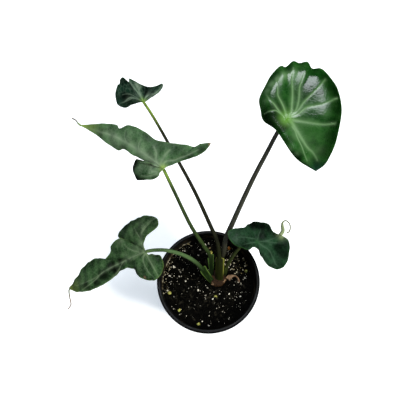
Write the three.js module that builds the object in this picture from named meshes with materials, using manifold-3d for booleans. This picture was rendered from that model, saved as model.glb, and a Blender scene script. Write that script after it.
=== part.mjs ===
// A young five-leaved alocasia in a round plastic nursery pot, in millimetres, +Z up.
// The origin is on the pot's axis at the surface it stands on, +X to the right of the plant and
// +Y to its back, where the taller leaf stalks lean.

import * as THREE from 'three';
import { mergeVertices } from 'three/addons/utils/BufferGeometryUtils.js';
import Module from 'manifold-3d';

const wasm = await Module();
wasm.setup();

// The pot
const RIM_DIAMETER = 105;
const POT_HEIGHT = 92;
const BASE_DIAMETER = 75;
const WALL = 1.3;
const FLOOR = 2;
const RIM_HEIGHT = 9;
const RIM_WIDTH = 3.8;
const POT_SIDES = 60;
const DRAIN_COUNT = 6;
const DRAIN_DIAMETER = 7;
const DRAIN_HEIGHT = 6.4;

// The potting mix, and the gap that parts which touch keep between them
const SOIL_DROP = 15;
const SOIL_ROUGHNESS = 1;
const SOIL_SIDES = 48;
const SOIL_RINGS = 7;
const GAP = 0.3;
const PERLITE_COUNT = 54;
const PERLITE_SIZE = [0.9, 1.7];
const PERLITE_SEED = 11;
const PEBBLE_SINK = 0.2;

// The slow-release beads on the mix: right, back and radius of each
const BEADS = [
  [-40.5, -11, 1.9],
  [-30, -28.5, 1.8],
  [-10, -42.5, 1.9],
  [7.5, -14.5, 1.7],
  [2.5, 32, 2],
  [40, 12, 1.8],
];

// The corm that the leaf stalks rise from
const CORM_CENTRE = [10, 4.6];
const CORM_RADIUS = 9.6;
const CORM_TOP = 78;
const CORM_DEPTH = 16;
const CORM_SIDES = 18;

// Leaf thickness and the leaf stalks' wall where they open into a sheath
const BLADE_THICKNESS = 0.8;
const BLADE_SEAT = 0.4;
const SHEATH_WALL = 1.5;
const STALK_STEP = 13;
const HALF_SECTION = 6;

// Every leaf is one or more lobes, named anticlockwise seen from above. Each lobe has a rib from
// the place where stalk and blade meet to the lobe's point, and a margin after and before that
// point, whose veins leave the rib. The round parts of the margin between the lobes hang on the
// foot of the ribs. A margin point is right, back and up from that foot, then how far the vein
// that ends there swells above a straight line, and how far it swells outwards.
const LEAVES = {
  a: {
    foot: [56, 86.6, 258],
    face: [0.06, -0.3, 0.95],
    crest: 0.72,
    lobes: [
      {
        rib: [[10, -11.5, -5], [17, -22, -11], [23.5, -32, -21]],
        after: [[30.5, -27, -18, 3], [36, -17, -12, 5.5]],
        before: [[-1.5, -15, -7, 2.5], [8.5, -25.5, -14, 3]],
        columns: 6,
      },
    ],
    rounds: [[
      [39, -6, -7, 6.5], [41, 4, -3.5, 7], [41, 13.5, -0.5, 7], [38, 24.5, 3, 7],
      [30.5, 34, 6.5, 6.5], [25.5, 36.5, 9, 5.5], [20, 37.5, 7.5, 5.5], [16, 40.5, 11, 5],
      [10.5, 41, 9, 5.5], [5.5, 41, 11, 5], [0.5, 38, 8.5, 5], [-4, 37, 10.5, 5],
      [-10.5, 31.5, 7.5, 5], [-15, 23.5, 5, 5], [-19, 15.5, 1, 5.5], [-18, 8.5, -2.5, 5],
      [-16, 0.5, -4, 3.5], [-7.5, -6.5, -4.5, 1.5],
    ]],
    roundColumns: 2,
    rows: 6,
  },
  b: {
    foot: [-47.5, 100.1, 259],
    face: [0.1, -0.3, 0.95],
    crest: 0.6,
    lobes: [
      {
        rib: [[-7, 2.5, 0.5], [-13, 1, -1.5], [-19.5, 0, -4]],
        after: [[-16, 1, -9.5], [-9.5, 2.5, -8]],
        before: [[-20.5, 6.5, 1, 1], [-20.5, 3, -2, 0.5]],
        columns: 5,
      },
    ],
    rounds: [[
      [-3.5, 1.5, -3.5], [1.5, 1.5, -2], [6, 3.5, 0.5], [11, 5.5, 2.5], [14.5, 8.5, 5.5],
      [14, 10.5, 7, -1], [10, 10.5, 4.5, -1], [5, 10.5, 3], [0.5, 13.5, 0, -1], [-3, 13, 3.5],
      [-6, 12.5, 7.5], [-9, 12, 11, 1], [-9.5, 9.5, 10.5, 1], [-13.5, 12.5, 11.5, 1],
      [-16, 12.5, 9, 1], [-17, 11, 6, 1], [-18.5, 10.5, 5, 1],
    ]],
    roundColumns: 1,
    rows: 5,
  },
  c: {
    foot: [-35, 62, 226.5],
    face: [-0.05, -0.2, 0.97],
    crest: 0.6,
    lobes: [
      {
        rib: [[-14, 10, 2.5], [-25.5, 18.5, 2.5], [-41, 27.5, 2], [-53, 32.5, -0.5], [-69.5, 40.5, -4.5]],
        after: [[-53.5, 29.5, -3], [-37.5, 17, -2.5], [-31.5, 17, -1.5], [-23, 11.5, -1.5]],
        before: [
          [-6.5, 22, 5.5, 1], [-14.5, 28, 7, 1], [-22.5, 32.5, 6.5, 1], [-28, 34.5, 5.5, 1],
          [-35, 33, 3.5], [-37.5, 35.5, 4.5], [-47.5, 38, 2], [-57.5, 39, -0.5],
        ],
        columns: 9,
      },
    ],
    rounds: [[
      [-15.5, 8, -2.5, 1], [-18.5, 7, -5, 2, 1], [-23, 13, -10.5, 3, 2], [-26, 8.5, -14.5, 4.5, 3.5],
      [-25, 2.5, -14.5, 5.5, 4], [-22.5, -3.5, -15, 5.5, 3], [-17, -4, -13, 4.5, 2],
      [-9.5, -5.5, -10, 3.5, 1], [-4.5, -4.5, -6, 2], [-2.5, -2.5, -2.5], [7, 4, 0.5],
      [14.5, 5.5, 2], [24.5, 8, 3.5], [31, 10.5, 5.5], [35, 14, 7.5], [36.5, 17, 9],
      [29.5, 16.5, 8], [24.5, 15.5, 5.5, 1], [17.5, 17, 6.5, 1], [11, 18.5, 5, 1], [3.5, 19, 6, 1],
    ]],
    thread: [[-68.5, 40, -4.5], [-71.5, 43, -5.5], [-74, 46.5, -7], [-77.5, 49, -8]],
    roundColumns: 1,
    rows: 5,
  },
  d: {
    foot: [-62, 24.1, 114],
    face: [-0.3, -0.16, 0.94],
    crest: 0.6,
    lobes: [
      {
        rib: [
          [-11, -4, -3], [-24, -7.5, -13], [-34.5, -11.5, -16], [-45, -17, -18.5],
          [-57.5, -24, -23.5], [-83, -30.5, -36],
        ],
        after: [
          [-73.5, -35, -33.5, 1], [-55, -32.5, -28.5, 1], [-38, -24.5, -22.5], [-26, -15.5, -18.5],
        ],
        before: [[-45.5, -4, -19.5], [-54, -1.5, -22, 2], [-67, -8, -28, 2], [-75, -19, -32.5, 1]],
        columns: 10,
      },
      {
        rib: [[2, -5, -1], [5.5, -11, -2.5], [9.5, -17.5, -5], [13, -24, -8.5]],
        after: [[16.5, -18, -7.5, 1], [17, -10, -6, 1], [14, -3.5, -4.5, 1], [6, -2, -3.5]],
        before: [[-9, -21, -14, 2], [-1, -25.5, -13, 1], [7, -26.5, -11, 1]],
        columns: 5,
      },
      {
        rib: [[-4, 8, 2.5], [-4.5, 17, 5], [0.5, 26, 7.5], [10, 33, 6.5]],
        after: [[1.5, 36, 4.5, 1], [-9.5, 34.5, 1, 2], [-20.5, 30.5, -4.5, 2], [-28.5, 25, -10, 3]],
        before: [[-1, 10.5, 2.5], [1.5, 15.5, 4], [10.5, 22, 7], [12.5, 27, 7.5]],
        columns: 5,
      },
    ],
    rounds: [
      [[-20.5, -13, -16, 1], [-13, -15, -13, 2]],
      [[2, -2.5, -2], [-1.5, 4.5, 0.5]],
      [[-30.5, 19, -13, 1], [-20, 13, -7.5], [-28, 14.5, -3.5], [-36.5, 8, -7, 1], [-38, 1.5, -12, 2]],
    ],
    thread: [[-81.5, -30, -35.5], [-84, -32.5, -39], [-84.5, -39, -46], [-84.5, -45, -52], [-88, -49.5, -55]],
    roundColumns: 1,
    rows: 5,
  },
  e: {
    foot: [46.5, 29.1, 131],
    face: [0.15, -0.2, 0.97],
    crest: 0.6,
    lobes: [
      {
        rib: [[10.5, 2, -1.5], [18.5, 5.5, -3], [24.5, 8.5, -5]],
        after: [[30.5, 3.5, -4, -1], [32, -3.5, -5.5, -2]],
        before: [[16.5, 13.5, -7, 1], [20.5, 9.5, -5.5]],
        columns: 5,
      },
    ],
    rounds: [[
      [32, -7.5, -10.5, -2], [31, -14.5, -15, -1], [26.5, -20.5, -15.5, 1], [20.5, -23.5, -14, 2],
      [13, -22, -10.5, 2], [8, -18.5, -8, 1], [4, -12, -5, 1], [1.5, -7, -3.5], [-3.5, -4.5, -1.5],
      [-7.5, -7, -2.5], [-12, -7, 1.5, 1], [-21, -5.5, 8, 2], [-26.5, -1, 12, 2],
      [-28.5, 4.5, 13.5, 2], [-26.5, 8, 13, 2], [-20, 11, 9, 2], [-11.5, 14.5, 0.5, 3],
      [-7.5, 19, -4, 3], [-0.5, 22, -5.5, 3], [7.5, 21.5, -7, 3], [13.5, 20, -7.5, 3],
    ]],
    thread: [
      [23, 8, -4.5], [26, 12.5, -4.5], [25.5, 17, -3], [26, 20.5, -2], [29, 22, -1.5],
      [32, 19.5, -1.5], [33, 15.5, -2], [32, 11.5, -3], [29.5, 10, -3.5],
    ],
    threadWidth: 0.9,
    roundColumns: 1,
    rows: 5,
  },
};

// Leaf stalks from the corm to their blades: the way the sheath opens, its length, its half
// widths at the base and at its two ears, and the stalk's radius above the sheath and at its end
const STALKS = {
  a: {
    route: [
      [12.7, 10.1, 78], [13.3, 16.1, 88.5], [15, 23.6, 101], [17, 34.6, 123.5], [22.5, 43.6, 145],
      [29.9, 55.1, 172], [38, 67, 199], [45.2, 75.6, 223], [51.9, 83.2, 246.5], [56, 86.6, 258],
    ],
    opens: [0, 1, 0],
    sheath: 8,
    base: 2.8,
    ears: [2.8, 2.8],
    neck: 2.9,
    end: 1.5,
  },
  b: {
    route: [
      [11.4, 4.2, 78], [11.3, 12.2, 92], [10.7, 22.4, 106], [8.1, 32.9, 124], [2.2, 41.7, 141],
      [-12.3, 62.7, 178], [-24.8, 77.7, 206], [-41.8, 95.7, 246], [-47.5, 100.1, 259],
    ],
    opens: [0.15, 1, 0],
    sheath: 29,
    base: 4.2,
    ears: [3.6, 5.2],
    neck: 2.2,
    end: 1,
  },
  c: {
    route: [
      [4, 5.9, 78], [2.9, 12.2, 91.7], [0.9, 22.1, 109.5], [-4.8, 27.6, 124.7],
      [-15.7, 37.3, 155.9], [-27.6, 52.7, 198.1], [-34.4, 61.3, 224.4],
    ],
    opens: [0.6, -0.5, 0.3],
    sheath: 31,
    base: 2.4,
    ears: [5.2, 3],
    neck: 2,
    end: 1.3,
  },
  d: {
    route: [
      [4.5, 0.2, 78], [-3.5, 6.6, 92.5], [-11, 13.6, 106.5], [-22.5, 18.6, 118.5],
      [-39.5, 22.6, 124], [-52.5, 24.1, 119.5], [-61, 24.1, 114.6],
    ],
    opens: [0.6, -0.3, 0.6],
    sheath: 24,
    base: 3,
    ears: [5.2, 3],
    neck: 2.1,
    end: 1.7,
  },
  e: {
    route: [
      [17.6, 8.7, 78], [18.8, 13.5, 92], [21.8, 17.6, 104], [25.7, 21.9, 113], [29.2, 25.3, 119],
      [33.7, 29.3, 125], [39.2, 30.8, 129], [46.5, 29.1, 131],
    ],
    opens: [-0.6, 0.8, 0],
    sheath: 14,
    base: 2.1,
    ears: [2.2, 2.2],
    neck: 1.9,
    end: 1.4,
  },
};

// The dried sheath that curls out beside the corm
const DRY_SHEATH = {
  route: [[20.5, 3.1, 78.6], [23.5, 5.6, 82.5], [28, 5.1, 83.5], [31, 2.1, 81.5], [31.5, -0.2, 79.8]],
  widths: [2.6, 2.4, 2, 1.6, 0.8],
  hollow: 0.9,
  thickness: 1,
};

const MATERIALS = {
  pot: new THREE.MeshStandardMaterial({ color: 0x17181c, roughness: 0.45, metalness: 0 }),
  soil: new THREE.MeshStandardMaterial({ color: 0x1b1613, roughness: 0.95, metalness: 0 }),
  corm: new THREE.MeshStandardMaterial({ color: 0x6d4a35, roughness: 0.85, metalness: 0 }),
  dry: new THREE.MeshStandardMaterial({ color: 0xa98060, roughness: 0.8, metalness: 0 }),
  leaf: new THREE.MeshStandardMaterial({ color: 0x2f5a35, roughness: 0.4, metalness: 0 }),
  darkStalk: new THREE.MeshStandardMaterial({ color: 0x3a3a2a, roughness: 0.5, metalness: 0 }),
  greenStalk: new THREE.MeshStandardMaterial({ color: 0x6f8f4a, roughness: 0.5, metalness: 0 }),
};

// Small helpers on points written as arrays

function vector(point) {
  return new THREE.Vector3(point[0], point[1], point[2]);
}

// A curve through rows of numbers, read at any place between them
function through(rows, place) {
  const last = rows.length - 1;
  const index = Math.min(Math.floor(place), last - 1);
  const t = place - index;
  const width = Math.max(...rows.map((row) => row.length));
  const read = (i, k) => rows[i][k] ?? 0;
  const value = [];
  for (let k = 0; k < width; k += 1) {
    const p1 = read(index, k);
    const p2 = read(index + 1, k);
    const p0 = index > 0 ? read(index - 1, k) : 2 * p1 - p2;
    const p3 = index + 2 <= last ? read(index + 2, k) : 2 * p2 - p1;
    const a = 2 * p1;
    const b = p2 - p0;
    const c = 2 * p0 - 5 * p1 + 4 * p2 - p3;
    const d = 3 * p1 - p0 - 3 * p2 + p3;
    value.push((a + b * t + c * t * t + d * t * t * t) / 2);
  }
  return value;
}

function seededRandom(seed) {
  let state = seed;
  return () => {
    state = (state * 16807) % 2147483647;
    return state / 2147483647;
  };
}

// Lumps a few millimetres across, between -1 and 1
function lumps(x, y) {
  const long = Math.sin(x * 0.21 + 1.3) * Math.cos(y * 0.19 - 0.4);
  const short = Math.sin(x * 0.53 + y * 0.31) * Math.cos(y * 0.61 - x * 0.17 + 2);
  return 0.5 * long + 0.5 * short;
}

// Closed meshes

function geometryOf(points, triangles) {
  const geometry = new THREE.BufferGeometry();
  geometry.setAttribute('position', new THREE.Float32BufferAttribute(points.flat(), 3));
  geometry.setIndex(triangles.flat());
  return geometry;
}

// Turns every face round where a closed mesh came out inside out
function facingOut(points, triangles) {
  let volume = 0;
  for (const [i, j, k] of triangles) {
    volume += vector(points[i]).dot(vector(points[j]).cross(vector(points[k])));
  }
  if (volume >= 0) {
    return geometryOf(points, triangles);
  }
  return geometryOf(points, triangles.map(([i, j, k]) => [i, k, j]));
}

function solid(geometry) {
  const bare = geometry.clone();
  bare.deleteAttribute('normal');
  bare.deleteAttribute('uv');
  const merged = mergeVertices(bare, 1e-4);
  return new wasm.Manifold(new wasm.Mesh({
    numProp: 3,
    vertProperties: new Float32Array(merged.attributes.position.array),
    triVerts: new Uint32Array(merged.index.array),
  }));
}

function geometryFrom(manifold) {
  const mesh = manifold.getMesh();
  const geometry = new THREE.BufferGeometry();
  geometry.setAttribute('position', new THREE.BufferAttribute(mesh.vertProperties, 3));
  geometry.setIndex(new THREE.BufferAttribute(mesh.triVerts, 1));
  return geometry;
}

// Joins rings of points, each with its two caps given as triangles of one ring
function sweptSkin(rings, cap) {
  const sides = rings[0].length;
  const points = rings.flat();
  const triangles = [];
  for (let ring = 0; ring + 1 < rings.length; ring += 1) {
    for (let side = 0; side < sides; side += 1) {
      const a = ring * sides + side;
      const b = ring * sides + ((side + 1) % sides);
      triangles.push([a, b, b + sides]);
      triangles.push([a, b + sides, a + sides]);
    }
  }
  const end = (rings.length - 1) * sides;
  for (const [i, j, k] of cap) {
    triangles.push([i, k, j]);
    triangles.push([end + i, end + j, end + k]);
  }
  return facingOut(points, triangles);
}

// A thin round thread, its width falling to half at its end
function threadSolid(route, width, sides = 5, steps = 3) {
  const places = (route.length - 1) * steps;
  const rings = [];
  for (let step = 0; step <= places; step += 1) {
    const place = step / steps;
    const here = vector(through(route, place));
    const before = vector(through(route, Math.max(place - 0.1, 0)));
    const after = vector(through(route, Math.min(place + 0.1, route.length - 1)));
    const along = after.sub(before).normalize();
    const across = new THREE.Vector3(0.3, 0.2, 1).cross(along).normalize();
    const over = along.clone().cross(across);
    const radius = (width / 2) * (1 - (0.4 * step) / places);
    const ring = [];
    for (let side = 0; side < sides; side += 1) {
      const turn = (2 * Math.PI * side) / sides;
      const point = here.clone();
      point.addScaledVector(across, radius * Math.cos(turn));
      point.addScaledVector(over, radius * Math.sin(turn));
      ring.push(point.toArray());
    }
    rings.push(ring);
  }
  const cap = [];
  for (let side = 1; side + 1 < sides; side += 1) {
    cap.push([0, side, side + 1]);
  }
  return sweptSkin(rings, cap);
}

// Leaf blades

// How much of a vein's swelling shows at a share r of its length
function swelling(r, crest) {
  const rise = (r / crest) ** (3 * crest);
  const fall = ((1 - r) / (1 - crest)) ** (3 * (1 - crest));
  return rise * fall;
}

// The margin all round a leaf, and for each vein its place there, its rib and where it leaves it
function veinsOf({ lobes, rounds, roundColumns }) {
  const margin = [];
  const veins = [];
  lobes.forEach((lobe, index) => {
    const next = lobes[(index + 1) % lobes.length];
    const apex = margin.length;
    const round = rounds[index];
    margin.push(lobe.rib[lobe.rib.length - 1], ...lobe.after, ...round, ...next.before);
    const roundStart = apex + lobe.after.length + 1;
    const roundEnd = roundStart + round.length - 1;
    for (let step = 0; step < lobe.columns; step += 1) {
      const share = step / lobe.columns;
      veins.push({ place: apex + share * (roundStart - apex), rib: lobe.rib, leaves: 1 - share });
    }
    for (let step = 0; step <= (round.length - 1) * roundColumns; step += 1) {
      veins.push({ place: roundStart + step / roundColumns, rib: lobe.rib, leaves: 0 });
    }
    for (let step = 1; step < next.columns; step += 1) {
      const share = step / next.columns;
      const place = roundEnd + share * (margin.length - roundEnd);
      veins.push({ place, rib: next.rib, leaves: share });
    }
  });
  margin.push(margin[0]);
  veins.push(veins[0]);
  return { margin, veins };
}

function bladeSurface(leaf) {
  const { rows } = leaf;
  const { margin, veins } = veinsOf(leaf);
  const face = vector(leaf.face).normalize();
  const grid = veins.map(({ place, rib, leaves }) => {
    const edge = through(margin, place);
    const start = vector(through([[0, 0, 0], ...rib], leaves * rib.length));
    const vein = vector(edge).sub(start);
    const outwards = vein.clone().normalize();
    const line = [];
    for (let row = 0; row <= rows; row += 1) {
      const r = row / rows;
      const swell = swelling(r, leaf.crest);
      const point = start.clone().addScaledVector(vein, r);
      point.addScaledVector(face, (edge[3] ?? 0) * swell);
      point.addScaledVector(outwards, (edge[4] ?? 0) * swell);
      line.push(point.add(vector(leaf.foot)));
    }
    return line;
  });
  return weldedGrid(grid);
}

// Numbers each point of a grid once, however many columns share it
function weldedGrid(grid) {
  const points = [];
  const known = new Map();
  const number = (point) => {
    const key = point.toArray().map((value) => Math.round(value * 1000)).join();
    if (!known.has(key)) {
      known.set(key, points.length);
      points.push(point);
    }
    return known.get(key);
  };
  const triangles = [];
  const addTriangle = (i, j, k) => {
    if (i !== j && j !== k && k !== i) {
      triangles.push([i, j, k]);
    }
  };
  for (let column = 0; column + 1 < grid.length; column += 1) {
    for (let row = 0; row + 1 < grid[0].length; row += 1) {
      const a = number(grid[column][row]);
      const b = number(grid[column][row + 1]);
      const c = number(grid[column + 1][row + 1]);
      const d = number(grid[column + 1][row]);
      addTriangle(a, b, c);
      addTriangle(a, c, d);
    }
  }
  return { points, triangles };
}

// Gives a surface its thickness, with both faces split into triangles alike
function thickened({ points, triangles }, thickness) {
  const normals = points.map(() => new THREE.Vector3());
  const edges = new Map();
  for (const [i, j, k] of triangles) {
    const side = points[j].clone().sub(points[i]);
    const normal = side.cross(points[k].clone().sub(points[i]));
    for (const corner of [i, j, k]) {
      normals[corner].add(normal);
    }
    for (const [from, to] of [[i, j], [j, k], [k, i]]) {
      const back = `${to}-${from}`;
      if (edges.has(back)) {
        edges.delete(back);
      } else {
        edges.set(`${from}-${to}`, [from, to]);
      }
    }
  }
  const shifted = (amount) => points.map((point, i) => (
    point.clone().addScaledVector(normals[i].clone().normalize(), amount).toArray()));
  const count = points.length;
  const skin = [...triangles];
  for (const [i, j, k] of triangles) {
    skin.push([i + count, k + count, j + count]);
  }
  for (const [from, to] of edges.values()) {
    skin.push([from, from + count, to + count]);
    skin.push([from, to + count, to]);
  }
  return facingOut([...shifted(thickness / 2), ...shifted(-thickness / 2)], skin);
}

function blade(leaf) {
  const sheet = thickened(bladeSurface(leaf), BLADE_THICKNESS);
  if (!leaf.thread) {
    return sheet;
  }
  const route = leaf.thread.map((point) => vector(point).add(vector(leaf.foot)).toArray());
  return geometryFrom(solid(sheet).add(solid(threadSolid(route, leaf.threadWidth ?? 0.8))));
}

// Leaf stalks

// Half widths to either side, and how far the stalk's outer and inner faces stand off its line
function stalkSection(stalk, distance, length) {
  const { sheath, base, ears, neck, end } = stalk;
  const taper = THREE.MathUtils.clamp((distance - sheath) / (length - sheath), 0, 1);
  const radius = THREE.MathUtils.lerp(neck, end, taper);
  if (distance >= sheath + 2) {
    return { left: radius, right: radius, outer: radius, inner: radius };
  }
  const share = Math.min(distance / sheath, 1);
  const close = THREE.MathUtils.clamp((distance - sheath) / 2, 0, 1);
  const widen = (ear) => THREE.MathUtils.lerp(THREE.MathUtils.lerp(base, ear, share), radius, close);
  const trough = SHEATH_WALL - radius;
  return {
    left: widen(ears[0]),
    right: widen(ears[1]),
    outer: radius,
    inner: THREE.MathUtils.lerp(trough, radius, Math.max(share ** 3 * 0.5, close)),
  };
}

function stalkRing(section, centre, along, opens) {
  const inwards = opens.clone().addScaledVector(along, -opens.dot(along)).normalize();
  const rightwards = inwards.clone().cross(along);
  const { left, right, outer, inner } = section;
  const place = (turn, depth) => {
    const half = Math.cos(turn) >= 0 ? right : left;
    const point = centre.clone().addScaledVector(rightwards, half * Math.cos(turn));
    return point.addScaledVector(inwards, depth * Math.sin(turn));
  };
  const ring = [];
  for (let step = 0; step <= HALF_SECTION; step += 1) {
    ring.push(place((Math.PI * step) / HALF_SECTION, -outer));
  }
  for (let step = HALF_SECTION - 1; step > 0; step -= 1) {
    ring.push(place((Math.PI * step) / HALF_SECTION, inner));
  }
  return ring;
}

// Slides a ring along the stalk's line onto the top of the corm
function seated(ring, along) {
  return ring.map((corner) => corner.addScaledVector(along, (CORM_TOP + GAP - corner.z) / along.z));
}

// What is left of a stalk under its blade, with a small gap between them
function underBlade(geometry, leaf) {
  const room = thickened(bladeSurface(leaf), BLADE_THICKNESS + 2 * BLADE_SEAT);
  const pieces = solid(geometry).subtract(solid(room)).decompose();
  pieces.sort((one, other) => other.volume() - one.volume());
  return geometryFrom(pieces[0]);
}

function stalk(spec, leaf) {
  const curve = new THREE.CatmullRomCurve3(spec.route.map(vector));
  curve.arcLengthDivisions = 400;
  const length = curve.getLength();
  const stops = [0, spec.sheath * 0.35, spec.sheath * 0.7, spec.sheath * 0.9];
  stops.push(spec.sheath, spec.sheath + 2);
  const rest = length - spec.sheath - 2;
  const steps = Math.ceil(rest / STALK_STEP);
  for (let step = 1; step <= steps; step += 1) {
    stops.push(spec.sheath + 2 + (rest * step) / steps);
  }
  const opens = vector(spec.opens);
  const rings = stops.map((distance) => {
    const share = Math.min(distance / length, 1);
    const section = stalkSection(spec, distance, length);
    return stalkRing(section, curve.getPointAt(share), curve.getTangentAt(share), opens);
  });
  rings[0] = seated(rings[0], curve.getTangentAt(0));

  const around = 2 * HALF_SECTION;
  const cap = [[0, 1, around - 1], [HALF_SECTION - 1, HALF_SECTION, HALF_SECTION + 1]];
  for (let step = 1; step + 1 < HALF_SECTION; step += 1) {
    cap.push([step, step + 1, around - step - 1]);
    cap.push([step, around - step - 1, around - step]);
  }
  const skin = sweptSkin(rings.map((ring) => ring.map((point) => point.toArray())), cap);
  return underBlade(skin, leaf);
}

// The pot

function wallRadius(height) {
  const share = height / (POT_HEIGHT - RIM_HEIGHT);
  return THREE.MathUtils.lerp(BASE_DIAMETER / 2, RIM_DIAMETER / 2 - RIM_WIDTH + WALL, share);
}

function pot() {
  const rim = RIM_DIAMETER / 2;
  const ledge = POT_HEIGHT - RIM_HEIGHT;
  const profile = [
    [0, 0],
    [BASE_DIAMETER / 2 - 1.2, 0],
    [wallRadius(1.2), 1.2],
    [wallRadius(ledge - 0.5), ledge - 0.5],
    [rim - 0.7, ledge + 0.6],
    [rim - 0.3, ledge + 1.4],
    [rim, POT_HEIGHT - 2.2],
    [rim - 0.4, POT_HEIGHT - 0.7],
    [rim - 1.3, POT_HEIGHT],
    [rim - RIM_WIDTH + 0.9, POT_HEIGHT],
    [rim - RIM_WIDTH + 0.2, POT_HEIGHT - 0.5],
    [rim - RIM_WIDTH, POT_HEIGHT - 1.6],
    [wallRadius(ledge) - WALL, ledge],
    [wallRadius(FLOOR) - WALL, FLOOR + 0.4],
    [wallRadius(FLOOR) - WALL - 0.6, FLOOR],
    [0, FLOOR],
  ];
  const shell = new THREE.LatheGeometry(profile.map(([r, z]) => new THREE.Vector2(r, z)), POT_SIDES);
  shell.rotateX(Math.PI / 2);
  let body = solid(shell);
  for (let index = 0; index < DRAIN_COUNT; index += 1) {
    const hole = new THREE.CylinderGeometry(DRAIN_DIAMETER / 2, DRAIN_DIAMETER / 2, 12, 12);
    hole.rotateZ(Math.PI / 2);
    hole.translate(BASE_DIAMETER / 2, 0, DRAIN_HEIGHT);
    hole.rotateZ((2 * Math.PI * (index + 0.5)) / DRAIN_COUNT);
    body = body.subtract(solid(hole));
  }
  return geometryFrom(body);
}

// The potting mix

const SOIL_TOP = POT_HEIGHT - SOIL_DROP;

function soilHeight(x, y) {
  const fromCrown = Math.hypot(x - CORM_CENTRE[0], y - CORM_CENTRE[1]);
  const calm = THREE.MathUtils.smoothstep(fromCrown, 12, 22);
  return SOIL_TOP + SOIL_ROUGHNESS * calm * lumps(x, y);
}

function soilPlug() {
  const bottom = FLOOR + GAP;
  const topRadius = wallRadius(SOIL_TOP) - WALL - GAP;
  const bottomRadius = wallRadius(bottom) - WALL - GAP - 0.6;
  const points = [[0, 0, soilHeight(0, 0)], [0, 0, bottom]];
  const triangles = [];
  const rim = (ring, side) => 2 + ring * SOIL_SIDES + (side % SOIL_SIDES);
  for (let ring = 0; ring < SOIL_RINGS; ring += 1) {
    for (let side = 0; side < SOIL_SIDES; side += 1) {
      const radius = (topRadius * (ring + 1)) / SOIL_RINGS;
      const turn = (2 * Math.PI * side) / SOIL_SIDES;
      const x = radius * Math.cos(turn);
      const y = radius * Math.sin(turn);
      points.push([x, y, ring + 1 < SOIL_RINGS ? soilHeight(x, y) : SOIL_TOP]);
    }
  }
  for (let side = 0; side < SOIL_SIDES; side += 1) {
    const turn = (2 * Math.PI * side) / SOIL_SIDES;
    points.push([bottomRadius * Math.cos(turn), bottomRadius * Math.sin(turn), bottom]);
    triangles.push([0, rim(0, side), rim(0, side + 1)]);
    triangles.push([1, rim(SOIL_RINGS, side + 1), rim(SOIL_RINGS, side)]);
    for (let ring = 0; ring < SOIL_RINGS; ring += 1) {
      triangles.push([rim(ring, side), rim(ring + 1, side), rim(ring + 1, side + 1)]);
      triangles.push([rim(ring, side), rim(ring + 1, side + 1), rim(ring, side + 1)]);
    }
  }
  return facingOut(points, triangles);
}

// A pebble sunk a little more than half in the mix
function grain(x, y, radius, stretch, turn) {
  const pebble = new THREE.IcosahedronGeometry(radius, 0);
  pebble.scale(stretch, 1, 0.85);
  pebble.rotateZ(turn);
  pebble.rotateX(turn * 0.7);
  pebble.translate(x, y, soilHeight(x, y) - radius * PEBBLE_SINK);
  return solid(pebble);
}

function soil() {
  const hole = new THREE.CylinderGeometry(CORM_RADIUS + 0.9, CORM_RADIUS + 0.9, CORM_DEPTH + 10, 24);
  hole.rotateX(Math.PI / 2);
  hole.translate(CORM_CENTRE[0], CORM_CENTRE[1], CORM_TOP - CORM_DEPTH - GAP + CORM_DEPTH / 2 + 5);
  let body = solid(soilPlug()).subtract(solid(hole));
  const random = seededRandom(PERLITE_SEED);
  const reach = wallRadius(SOIL_TOP) - WALL - 4;
  let placed = 0;
  while (placed < PERLITE_COUNT) {
    const away = reach * Math.sqrt(random());
    const turn = 2 * Math.PI * random();
    const radius = THREE.MathUtils.lerp(PERLITE_SIZE[0], PERLITE_SIZE[1], random() ** 2);
    const x = away * Math.cos(turn);
    const y = away * Math.sin(turn);
    if (Math.hypot(x - CORM_CENTRE[0], y - CORM_CENTRE[1]) > CORM_RADIUS + 5) {
      body = body.add(grain(x, y, radius, 1 + 0.4 * random(), 6 * random()));
      placed += 1;
    }
  }
  for (const [x, y, radius] of BEADS) {
    body = body.add(grain(x, y, radius, 1.15, x));
  }
  return geometryFrom(body);
}

// The corm

function corm() {
  const levels = [
    [0, 0.55], [0.15, 0.82], [0.4, 0.95], [0.62, 0.9], [0.78, 1], [0.9, 0.98], [1, 0.9],
  ];
  const bottom = CORM_TOP - CORM_DEPTH;
  const points = [];
  const triangles = [];
  for (const [height, width] of levels) {
    for (let side = 0; side < CORM_SIDES; side += 1) {
      const turn = (2 * Math.PI * side) / CORM_SIDES;
      const knob = 1 + 0.05 * Math.sin(3 * turn + 9 * height) - 0.04 * Math.cos(5 * turn - 4 * height);
      const radius = (CORM_RADIUS - 0.4) * width * knob;
      const x = CORM_CENTRE[0] + radius * Math.cos(turn);
      const y = CORM_CENTRE[1] + radius * Math.sin(turn);
      points.push([x, y, bottom + CORM_DEPTH * height]);
    }
  }
  const top = (levels.length - 1) * CORM_SIDES;
  for (let side = 0; side < CORM_SIDES; side += 1) {
    const next = (side + 1) % CORM_SIDES;
    for (let level = 0; level + 1 < levels.length; level += 1) {
      const a = level * CORM_SIDES + side;
      const b = level * CORM_SIDES + next;
      triangles.push([a, b, b + CORM_SIDES]);
      triangles.push([a, b + CORM_SIDES, a + CORM_SIDES]);
    }
    triangles.push([points.length, next, side]);
    triangles.push([points.length + 1, top + side, top + next]);
  }
  points.push([CORM_CENTRE[0], CORM_CENTRE[1], bottom]);
  points.push([CORM_CENTRE[0], CORM_CENTRE[1], CORM_TOP]);
  return facingOut(points, triangles);
}

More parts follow.
